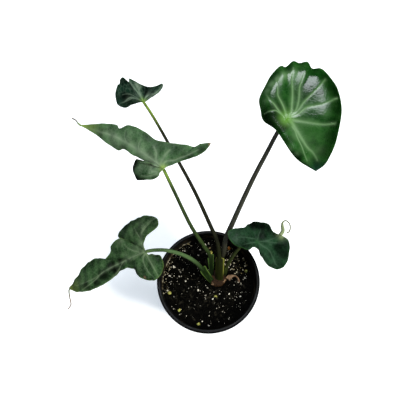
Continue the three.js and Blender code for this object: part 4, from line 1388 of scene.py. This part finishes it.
def grown(name, ground, tree, **inputs):
    """A plain piece made by a tree of nodes on a ground, which is then taken away."""
    host = bpy.data.objects.new(f"{name}_ground", ground)
    bpy.context.scene.collection.objects.link(host)
    nodes = host.modifiers.new("grow", "NODES")
    nodes.node_group = tree
    for item in tree.interface.items_tree:
        if item.in_out == "INPUT" and item.name in inputs:
            nodes[item.identifier] = inputs[item.name]
    seen = host.evaluated_get(bpy.context.evaluated_depsgraph_get())
    mesh = bpy.data.meshes.new_from_object(seen)
    mesh.name = name
    host.modifiers.clear()
    bpy.data.objects.remove(host)
    made = bpy.data.objects.new(name, mesh)
    return settled(made, None, None, 40)


def grain_collection(name, shapes):
    """Shapes of one kind of grain, kept in a collection that the trees pick from."""
    group = bpy.data.collections.new(name)
    for index, (points, faces) in enumerate(shapes):
        mesh = bpy.data.meshes.new(f"{name}_{index}")
        mesh.from_pydata(np.asarray(points).tolist(), [], faces)
        group.objects.link(bpy.data.objects.new(f"{name}_{index}", mesh))
    return group


def ball(rings, sides):
    """Points and faces of a unit ball with closed poles."""
    height = np.linspace(math.pi, 0, rings + 1)
    profile = np.stack([np.sin(height), np.cos(height)], -1)
    return lathe(profile, sides)


def knobbly(seed, stretch, rough, rings, sides):
    """A knobbly grain about a unit ball's size."""
    points, faces = ball(rings, sides)
    bumps = 1 + rough * ripples(points, 1.3, seed)[:, None]
    return points * bumps * np.array(stretch), faces


def sliver(index, seed, width, sides, steps):
    """A curved fibre, longer and bent less with each index."""
    random = np.random.default_rng(seed)
    length, bend = 7 + 2 * index, 0.9 - 0.5 * index
    share = np.linspace(-0.5, 0.5, steps + 1)
    sway = bend * (share * 2) ** 2 + 0.1 * random.normal(size=steps + 1) * bend
    line = np.stack([share * length, sway, 0.08 * np.cos(5 * share)], -1)
    thick = width / 2 * np.sqrt(1.02 - (2 * share) ** 2)
    points, faces = round_tube(line, thick, sides, 0.6)
    return points, faces_out(points, faces)


def all_grains():
    """A collection for each kind of loose grain."""
    grains = {}
    for kind, (count, seed, *form) in GRAINS.items():
        grains[kind] = grain_collection(kind, [knobbly(seed + index, *form) for index in range(count)])
    count, seed, *form = FIBRES
    slivers = [sliver(index, seed + index, *form) for index in range(count)]
    grains["fibre"] = grain_collection("fibre", slivers)
    return grains


def mesh_of(name, points, faces):
    mesh = bpy.data.meshes.new(name)
    mesh.from_pydata((points * MM).tolist(), [], faces)
    return mesh


def points_mesh(name, places):
    """Bare points on the mix, each with the size of what lies there."""
    x, y, radius = np.array(places, float).T
    z = crumbly_height(x, y) - radius * PEBBLE_SINK
    mesh = mesh_of(name, np.stack([x, y, z], -1), [])
    mesh.attributes.new("size", "FLOAT", "POINT").data.foreach_set("value", radius * MM)
    return mesh


def ground_mesh(name, inner, outer, rise, arc):
    """The open top of the mix between two distances and two turns, for strewing on."""
    rings, sides = 40, 120
    radius, turn = np.meshgrid(np.linspace(inner, outer, rings), full_turn(sides), indexing="ij")
    x, y = radius * np.cos(turn), radius * np.sin(turn)
    points = np.stack([x, y, crumbly_height(x, y) + rise], -1).reshape(-1, 3)
    from_corm = np.hypot(points[:, 0] - CORM_CENTRE[0], points[:, 1] - CORM_CENTRE[1])
    turned = (np.degrees(turn.reshape(-1)) - arc[0]) % 360
    clear = (from_corm > CORM_RADIUS + 1.2) & (turned <= arc[1] - arc[0])
    faces = [
        [first, *others[::-1]]
        for first, *others in ring_faces(rings, sides)
        if clear[[first, *others]].all()
    ]
    return mesh_of(name, points, faces)


def ground_on_wall(name):
    """A strip of the pot's inner wall, at its left and back, where dried grains cling."""
    columns, rows = 60, 6
    turns = np.radians(np.linspace(*RESIDUE_ARC, columns))
    turn, share = np.meshgrid(turns, np.linspace(0, 1, rows), indexing="ij")
    height = SOIL_TOP + 0.5 + RESIDUE_HEIGHT * share * (0.55 + 0.45 * np.sin(turn * 9) * np.sin(turn * 4))
    radius = wall_radius(height) - WALL - 0.1
    points = np.stack([radius * np.cos(turn), radius * np.sin(turn), height], -1).reshape(-1, 3)
    starts = [column * rows + row for column in range(columns - 1) for row in range(rows - 1)]
    faces = [[start, start + 1, start + rows + 1, start + rows] for start in starts]
    return mesh_of(name, points, faces)


class ALOCASIA_OT_mix(bpy.types.Operator):
    """Adds the potting mix with its crumbs, bark fibres, perlite and slow release beads"""

    bl_idname = "alocasia.mix"
    bl_label = "Potting mix"

    def execute(self, context):
        settings = context.scene.alocasia_mix
        top = wall_radius(SOIL_TOP) - WALL - SOIL_GAP
        bottom = FLOOR + SOIL_GAP
        low = wall_radius(bottom) - WALL - SOIL_GAP - 0.6
        radii = np.linspace(0, top, 96)
        profile = [*[(radius, 0) for radius in radii], (top, -1), (low, -2), (0, -3)]
        points, faces = lathe(profile, 200)
        surface = points[:, 2] == 0
        side = points[:, 2] == -1
        points[surface, 2] = crumbly_height(points[surface, 0], points[surface, 1])
        points[side, 2] = SOIL_TOP - 4
        points[points[:, 2] < 0, 2] = bottom
        hollow = np.hypot(points[:, 0] - CORM_CENTRE[0], points[:, 1] - CORM_CENTRE[1])
        points[surface, 2] -= (4 * smooth(CORM_RADIUS + 0.6, CORM_RADIUS - 1.5, hollow))[surface]
        finishes = {
            "peat": peat_material(settings),
            "bark": bark_material(settings),
            "perlite": perlite_material(settings),
            "crust": crust_material(),
            "bead": bead_material("waxy_bead_skin", (*settings.bead, 1), "#74702a"),
            "fresh_bead": bead_material("amber_bead_skin", "#d08c30", "#a85c1c"),
        }
        faces = faces_out(points, faces)
        piece("potting_mix", points, faces, "soil", finishes["peat"], None, 80)

        grains = all_grains()
        strewn, laid = strewn_tree(), laid_tree()
        for name, (kind, finish, density, (smallest, largest), tilt, turn) in STREWN.items():
            if name in STRIPS:
                far, near, rise, arc = STRIPS[name]
                ground = ground_mesh(f"{name}_strip", max(1, top - far), top - near, rise, arc)
            else:
                ground = ground_on_wall(f"{name}_strip")
            grown(
                name, ground, strewn, Grains=grains[kind], Finish=finishes[finish], Density=float(density),
                Smallest=smallest * MM, Largest=largest * MM, Tilt=tilt, Seed=settings.seed + turn,
            )
        placed = {"perlite": perlite_places(), **PLACED}
        for name, (kind, finish, tilt, turn) in LAID.items():
            grown(
                name, points_mesh(f"{name}_places", placed[name]), laid, Grains=grains[kind],
                Finish=finishes[finish], Tilt=tilt, Seed=settings.seed + turn,
            )
        return {"FINISHED"}


# The corm and the dry sheath


class ALOCASIA_OT_corm(bpy.types.Operator):
    """Adds the knobbly corm that the stalks rise from"""

    bl_idname = "alocasia.corm"
    bl_label = "Corm"

    def execute(self, context):
        levels = np.array(CORM_LEVELS)
        height, width = through(levels, np.linspace(0, len(levels) - 1, CORM_STEPS + 1)).T
        width[-1] *= 0.96
        side = np.stack([width, height], -1).tolist()
        top = [(share * width[-1], 1) for share in (0.8, 0.6, 0.4, 0.2)]
        points, faces = lathe([(0, 0), *side, *top, (0, 1)], CORM_SIDES)
        turn = np.arctan2(points[:, 1], points[:, 0])
        share = points[:, 2].copy()
        lobed = 1 + 0.05 * np.sin(3 * turn + 9 * share) - 0.04 * np.cos(5 * turn - 4 * share)
        points[:, :2] *= ((CORM_RADIUS - 0.4) * lobed)[:, None]
        points[:, :2] += CORM_CENTRE
        points[:, 2] = CORM_TOP - CORM_DEPTH + CORM_DEPTH * share
        cork = 0.28 * ripples(points, 3.4, 31) + 0.16 * ripples(points, 1.5, 32)
        rings = 0.22 * np.sin(points[:, 2] * 2.3 + 0.8 * np.sin(2 * turn))
        outwards = unit(points - np.array([*CORM_CENTRE, CORM_TOP - 6]))
        points += outwards * np.minimum(cork + rings, 0.35)[:, None]
        piece("corm_body", points, faces_out(points, faces), "corm", corm_material(), None, 70)
        return {"FINISHED"}


class ALOCASIA_OT_dry_sheath(bpy.types.Operator):
    """Adds the curled dry sheath beside the corm"""

    bl_idname = "alocasia.dry_sheath"
    bl_label = "Dry sheath"

    def execute(self, context):
        route = np.array(DRY_SHEATH["route"], float)
        places = np.linspace(0, len(route) - 1, 41)
        line = through(route, places)
        half = through(np.array(DRY_SHEATH["widths"])[:, None], places)[:, 0]
        along = unit(np.gradient(line, axis=0))
        sideways = unit(np.cross(along, (0.6, 0.8, 0)))
        over = np.cross(sideways, along)
        steps = 12
        share = np.linspace(-1, 1, steps + 1)
        wave = 0.25 * np.sin(places * 3.1)[:, None] * share[None] ** 2
        lift = DRY_SHEATH["hollow"] * (1 - share**2)[None] + wave
        thick = DRY_SHEATH["thickness"] / 2
        flat = line[:, None] + sideways[:, None] * (half[:, None] * share[None])[..., None]
        upper = flat + over[:, None] * (lift + thick)[..., None]
        lower = flat + over[:, None] * (lift - thick)[..., None]
        points, faces = tube(np.concatenate([upper, lower[:, ::-1]], 1))
        length = np.repeat(places * 4, 2 * (steps + 1))
        grain = np.zeros((len(points), 3))
        grain[: len(length), 0] = np.tile([*share * 2, *share[::-1] * 2], len(places))
        grain[: len(length), 1] = length * 0.15
        piece(
            "dry_sheath_curl", points, faces_out(points, faces), "dried_sheath",
            husk_material(), {"grain": grain * MM}, 60,
        )
        return {"FINISHED"}


# Stalks


def centripetal(route, steps=24):
    """A smooth line through a route, with knots spaced by the roots of its steps."""
    route = np.array(route, float)
    padded = np.concatenate([[2 * route[0] - route[1]], route, [2 * route[-1] - route[-2]]])
    line = []
    for p0, p1, p2, p3 in zip(padded[:-3], padded[1:-2], padded[2:-1], padded[3:]):
        d0, d1, d2 = (math.sqrt(np.linalg.norm(b - a)) for a, b in ((p0, p1), (p1, p2), (p2, p3)))
        leaving = ((p1 - p0) / d0 - (p2 - p0) / (d0 + d1) + (p2 - p1) / d1) * d1
        arriving = ((p2 - p1) / d1 - (p3 - p1) / (d1 + d2) + (p3 - p2) / d2) * d1
        t = np.linspace(0, 1, steps, endpoint=False)[:, None]
        line.append(
            p1 + leaving * t + (-3 * p1 + 3 * p2 - 2 * leaving - arriving) * t**2
            + (2 * p1 - 2 * p2 + leaving + arriving) * t**3
        )
    return np.concatenate([*line, [route[-1]]])


def evenly(line, distances):
    """Points of a line at distances along it, and its length."""
    run = np.concatenate([[0], np.cumsum(np.linalg.norm(np.diff(line, axis=0), axis=1))])
    return np.stack([np.interp(distances, run, line[:, axis]) for axis in range(3)], -1), run[-1]


def stalk_skin(key):
    """A stalk with its open sheath: points, faces and what its skin's pattern follows."""
    spec = STALKS[key]
    line = centripetal(spec["route"])
    _, length = evenly(line, [0])
    sheath = spec["sheath"]
    stops = np.concatenate([
        np.linspace(0, sheath, max(8, int(sheath / 0.9)), endpoint=False),
        sheath + np.array([0, 0.4, 0.8, 1.2, 1.6, 2]),
        np.linspace(sheath + 3, length, int((length - sheath) / 1.6)),
    ])
    centres, _ = evenly(line, stops)
    along = unit(np.gradient(centres, axis=0))
    opens = np.array(spec["opens"], float)
    inwards = unit(opens - along * (along @ opens)[:, None])
    rightwards = np.cross(inwards, along)
    taper = np.clip((stops - sheath) / (length - sheath), 0, 1)
    radius = spec["neck"] + (spec["end"] - spec["neck"]) * taper
    share = np.minimum(stops / sheath, 1)
    close = smooth(sheath, sheath + 2, stops)
    open_half = spec["base"] + (np.array(spec["ears"])[:, None] - spec["base"]) * share
    left, right = open_half + (radius - open_half) * close
    trough = SHEATH_WALL - radius
    inner = trough + (radius - trough) * np.maximum(0.5 * share**3, close)
    outer_turn = np.linspace(0, math.pi, HALF_SIDES + 1)
    inner_turn = np.linspace(math.pi, 0, HALF_SIDES + 1)[1:-1]
    turn = np.concatenate([outer_turn, inner_turn])
    half = np.where(np.cos(turn)[None] >= 0, right[:, None], left[:, None])
    depth = np.where(np.arange(len(turn)) <= HALF_SIDES, -radius[:, None], inner[:, None])
    aside = half * np.cos(turn)
    deep = depth * np.sin(turn)
    rings = centres[:, None] + rightwards[:, None] * aside[..., None] + inwards[:, None] * deep[..., None]
    rings[0] += along[0] * ((CORM_TOP + SOIL_GAP - rings[0, :, 2]) / along[0, 2])[:, None]
    face = unit(LEAVES[key]["face"])
    foot = np.array(LEAVES[key]["foot"], float) - 0.1 * face
    last = min(3, len(rings) - 1)
    for ring in range(len(rings) - last, len(rings)):
        slope = along[ring] @ face
        gap = (rings[ring] - foot) @ face
        slid = np.where(gap > 0, -gap / slope if abs(slope) > 0.3 else 0, 0)
        rings[ring] += along[ring] * slid[:, None]
    points, faces = tube(rings)
    sides = len(turn)
    count = len(stops) * sides
    grain = np.zeros((len(points), 3))
    grain[:count, 0] = (radius[:, None] * np.cos(turn)).ravel()
    grain[:count, 1] = (radius[:, None] * np.sin(turn)).ravel()
    grain[:count, 2] = np.repeat(stops * 0.08, sides)
    way = np.zeros(len(points))
    way[:count] = np.repeat(stops / length, sides)
    way[-1] = 1
    thin = np.abs(np.cos(turn))[None] ** 10 * (1 - close)[:, None] * smooth(0.1, 0.5, share)[:, None]
    lip = np.zeros(len(points))
    lip[:count] = thin.ravel()
    return points, faces_out(points, faces), {"grain": grain * MM, "along": way, "lip": lip}


class ALOCASIA_OT_stalks(bpy.types.Operator):
    """Adds the five leaf stalks with their sheaths"""

    bl_idname = "alocasia.stalks"
    bl_label = "Leaf stalks"

    def execute(self, context):
        for key in STALKS:
            points, faces, patterns = stalk_skin(key)
            piece(
                f"leaf_stalk_{key}", points, faces, f"stalk_{key}",
                stalk_material(key), patterns,
            )
        return {"FINISHED"}


# Blades


def vein_lines(blade, step=24):
    """Every vein of a blade as a line of points, with its width against the widest."""
    lines = []
    *_, strength = BLADE_FORM[blade.key]
    for lobe in blade.shape["lobes"] if strength else []:
        rib = table_of([(0, 0, 0), *lobe["rib"]], 3)
        lines.append((blade.foot + through(rib, np.linspace(0, len(rib) - 1, 2 * step)), strength))
    for weight, vein in VEINS[blade.key]:
        run = through(np.array(vein, float), np.linspace(0, len(vein) - 1, step))
        lines.append((blade.points(run[:, 0], np.clip(run[:, 1], 0, 1)), weight))
    return lines


def vein_paint(blade, points, half_width):
    """How strongly the veins, and the flesh along them, show at each point."""
    vein, halo = np.zeros((2, len(points)))
    for line, weight in vein_lines(blade):
        away, share = distance_to(points, line)
        width = half_width * weight * (1 - 0.6 * share)
        vein = np.maximum(vein, np.exp(-((away / width) ** 2)) * (1 - 0.5 * share))
        halo = np.maximum(halo, np.exp(-((away / (3.2 * width)) ** 2)) * (1 - 0.6 * share))
    return vein, halo


def spot_paint(blade, points):
    """How strongly the painted shade, painted light and highlight, and dried spots show at each point."""
    shade, pale, dry = np.zeros((3, len(points)))
    for place, reach, radius, strength in SHADES[blade.key]:
        # Spots above zero are painted shade, those below zero painted light and highlight
        if strength > 0:
            shade = np.maximum(shade, strength * blade.spot(points, place, reach, radius, 4))
        else:
            pale = np.maximum(pale, -strength * blade.spot(points, place, reach, radius, 2))
    for place, reach, radius in DRY_SPOTS.get(blade.key, []):
        dry = np.maximum(dry, blade.spot(points, place, reach, radius, 4))
    return shade, pale, dry


def blade_skin(key, settings):
    """A leaf blade with its ripples, veins and thread: points, faces and patterns."""
    blade = Blade(key)
    ripple, wavelength, quilt, _ = BLADE_FORM[key]
    columns = blade.columns(BLADE_SPACING)
    reach = np.linspace(0, 1, BLADE_ROWS)
    sheet = blade.points(np.repeat(columns, BLADE_ROWS), np.tile(reach, len(columns)))
    first, faces = welded(sheet.reshape(len(columns), BLADE_ROWS, 3))
    points = sheet[first]
    edge = blade.points(columns, np.full(len(columns), 1.0))
    to_edge, _ = distance_to(points, edge)
    from_foot = np.linalg.norm(points - blade.foot, axis=1)
    vein, halo = vein_paint(blade, points, settings.vein / MM)
    shade, pale, dry = spot_paint(blade, points)

    calm = smooth(1.5, 9, from_foot)
    waves = ripples(points, wavelength, 50) + 0.35 * ripples(points, wavelength * 0.4, 51)
    high = settings.ripple / MM * ripple * waves * calm - quilt * halo * calm
    sunk = -0.25 * vein * calm
    normal = normals_of(points, faces)
    if (normal @ blade.face).sum() < 0:
        faces = [face[::-1] for face in faces]
        normal = -normal
    thick = settings.blade / MM * (0.55 + 0.45 * smooth(0, 4, to_edge))
    upper = points + normal * (thick / 2 + high + sunk)[:, None]
    lower = points + normal * (-thick / 2 + high - 0.3 * vein)[:, None]
    count = len(points)
    skin = [*faces, *[[corner + count for corner in face[::-1]] for face in faces]]
    skin += [[start, start + count, end + count, end][::-1] for start, end in open_edges(faces)]
    skin_points = np.concatenate([upper, lower])
    skin = faces_out(skin_points, skin)

    tip_point = blade.foot + np.array(blade.shape["lobes"][0]["rib"][-1])
    tip = np.exp(-((np.linalg.norm(points - tip_point, axis=1) / TIPS[key]) ** 2))
    margin, margin_strength = MARGINS[key]
    patterns = {
        "vein": np.concatenate([vein, 0.7 * vein]),
        "halo": np.tile(halo, 2),
        "rim": np.tile(np.exp(-((to_edge / margin) ** 2)), 2) * margin_strength,
        "heart": np.tile(np.exp(-((from_foot / HEARTS[key]) ** 2)), 2),
        "tip": np.tile(tip, 2) * 0.9,
        # The shade pattern is painted shade, and the pale one is painted light and highlight
        "shade": np.tile(shade, 2),
        "pale": np.tile(pale, 2),
        "dry": np.tile(dry, 2),
        "under": np.concatenate([np.zeros(count), np.ones(count)]),
    }
    if "thread" in blade.shape:
        route = blade.foot + np.array(blade.shape["thread"], float)
        *widths, dryness = THREADS[key]
        more, more_faces, along = thread_skin(route, widths)
        more_faces = faces_out(more, more_faces)
        skin += [[corner + len(skin_points) for corner in face] for face in more_faces]
        skin_points = np.concatenate([skin_points, more])
        for name, values in patterns.items():
            dried = smooth(0.2, 0.6, along) * dryness
            there = {"tip": 1 - dried, "dry": dried}
            patterns[name] = np.concatenate([values, there.get(name, 0 * along)])
    return skin_points, skin, patterns


class ALOCASIA_OT_blades(bpy.types.Operator):
    """Adds the five leaf blades with their veins"""

    bl_idname = "alocasia.blades"
    bl_label = "Leaf blades"

    def execute(self, context):
        settings = context.scene.alocasia_plant
        for key in LEAVES:
            points, faces, patterns = blade_skin(key, settings)
            skin = blade_material(key)
            piece(f"leaf_blade_{key}", points, faces, f"blade_{key}", skin, patterns, 60)
        return {"FINISHED"}


# The stage


def soft_light(name, power, place, width, colour, glints):
    light = bpy.data.lights.new(name, "AREA")
    light.shape = "SQUARE"
    light.size = width
    light.energy = power
    light.color = linear(colour)
    lamp = bpy.data.objects.new(name, light)
    lamp.location = place
    lamp.rotation_euler = (Vector(LIGHTS_AIM) - Vector(place)).to_track_quat("-Z", "Y").to_euler()
    lamp.visible_glossy = glints
    bpy.context.scene.collection.objects.link(lamp)
    lamp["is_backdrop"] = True


class ALOCASIA_OT_stage(bpy.types.Operator):
    """Adds the pale floor, the soft lights and the camera"""

    bl_idname = "alocasia.stage"
    bl_label = "Stage"

    def execute(self, context):
        scene = context.scene
        settings = scene.alocasia_stage
        material, tree = start_material("pale_paper")
        where = add(tree, "ShaderNodeTexCoord").outputs["Object"]
        [tooth] = spots(tree, where, (2, 2, 0.55))
        finish_material(tree, {
            "Base Color": coated(tree, (*settings.floor, 1), [(tooth, 0.3, 0.7, 0.4, shown("#f4f4f4", 1))]),
            "Roughness": 0.9,
            "Specular IOR Level": 0.1,
            # The floor glows a faint bluish white, a painted light that lifts its cast shadows to a pale
            # blue
            "Emission Color": shown("#e6f0fa", 1),
            "Emission Strength": 0.5,
        })
        bpy.ops.mesh.primitive_plane_add(size=6, location=(0, 0, 0))
        floor = context.active_object
        floor.name = "floor"
        floor.data.materials.append(material)
        floor.visible_glossy = False
        floor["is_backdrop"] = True

        for name, look in LIGHTS.items():
            soft_light(f"{name}_light", getattr(settings, name), *look)
        world = bpy.data.worlds.new("studio_air")
        world.use_nodes = True
        air = world.node_tree.nodes["Background"]
        air.inputs["Color"].default_value = (*linear("#eef5ff"), 1)
        air.inputs["Strength"].default_value = 0.35
        scene.world = world
        world.cycles_visibility.glossy = False

        camera = bpy.data.cameras.new("camera")
        camera.lens = LENS
        camera.sensor_width = SENSOR
        camera.clip_start, camera.clip_end = 0.02, 20
        eye = bpy.data.objects.new("camera", camera)
        eye.location = CAMERA_PLACE
        eye.rotation_euler = (math.radians(CAMERA_TILT), 0, 0)
        scene.collection.objects.link(eye)
        scene.camera = eye
        scene.view_settings.view_transform = "Standard"
        return {"FINISHED"}


class ALOCASIA_PT_panel(bpy.types.Panel):
    """Lists the pieces of the plant and the settings they take"""

    bl_idname = "ALOCASIA_PT_panel"
    bl_label = "Alocasia"
    bl_space_type = "VIEW_3D"
    bl_region_type = "UI"
    bl_category = "Alocasia"

    def draw(self, context):
        for step in STEPS:
            self.layout.operator(step.bl_idname)
        for name in SETTINGS:
            group = getattr(context.scene, name)
            box = self.layout.box()
            for label in group.bl_rna.properties.keys():
                if label not in {"rna_type", "name"}:
                    box.prop(group, label)


STEPS = [
    ALOCASIA_OT_pot,
    ALOCASIA_OT_mix,
    ALOCASIA_OT_corm,
    ALOCASIA_OT_dry_sheath,
    ALOCASIA_OT_stalks,
    ALOCASIA_OT_blades,
    ALOCASIA_OT_stage,
]
SETTINGS = {
    "alocasia_pot": PotSettings,
    "alocasia_mix": MixSettings,
    "alocasia_plant": PlantSettings,
    "alocasia_stage": StageSettings,
}


def register():
    for kind in (*SETTINGS.values(), *STEPS, ALOCASIA_PT_panel):
        bpy.utils.register_class(kind)
    for name, kind in SETTINGS.items():
        setattr(bpy.types.Scene, name, PointerProperty(type=kind))


def unregister():
    for name in SETTINGS:
        delattr(bpy.types.Scene, name)
    for kind in (ALOCASIA_PT_panel, *reversed(STEPS), *reversed(SETTINGS.values())):
        bpy.utils.unregister_class(kind)


def corners():
    return [list(corner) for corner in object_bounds()]


def main():
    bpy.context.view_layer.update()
    register()
    bpy.ops.alocasia.pot()
    bpy.ops.alocasia.mix()
    bpy.ops.alocasia.corm()
    bpy.ops.alocasia.dry_sheath()
    bpy.ops.alocasia.stalks()
    bpy.ops.alocasia.blades()
    bpy.ops.alocasia.stage()


if __name__ == "__main__":
    main()
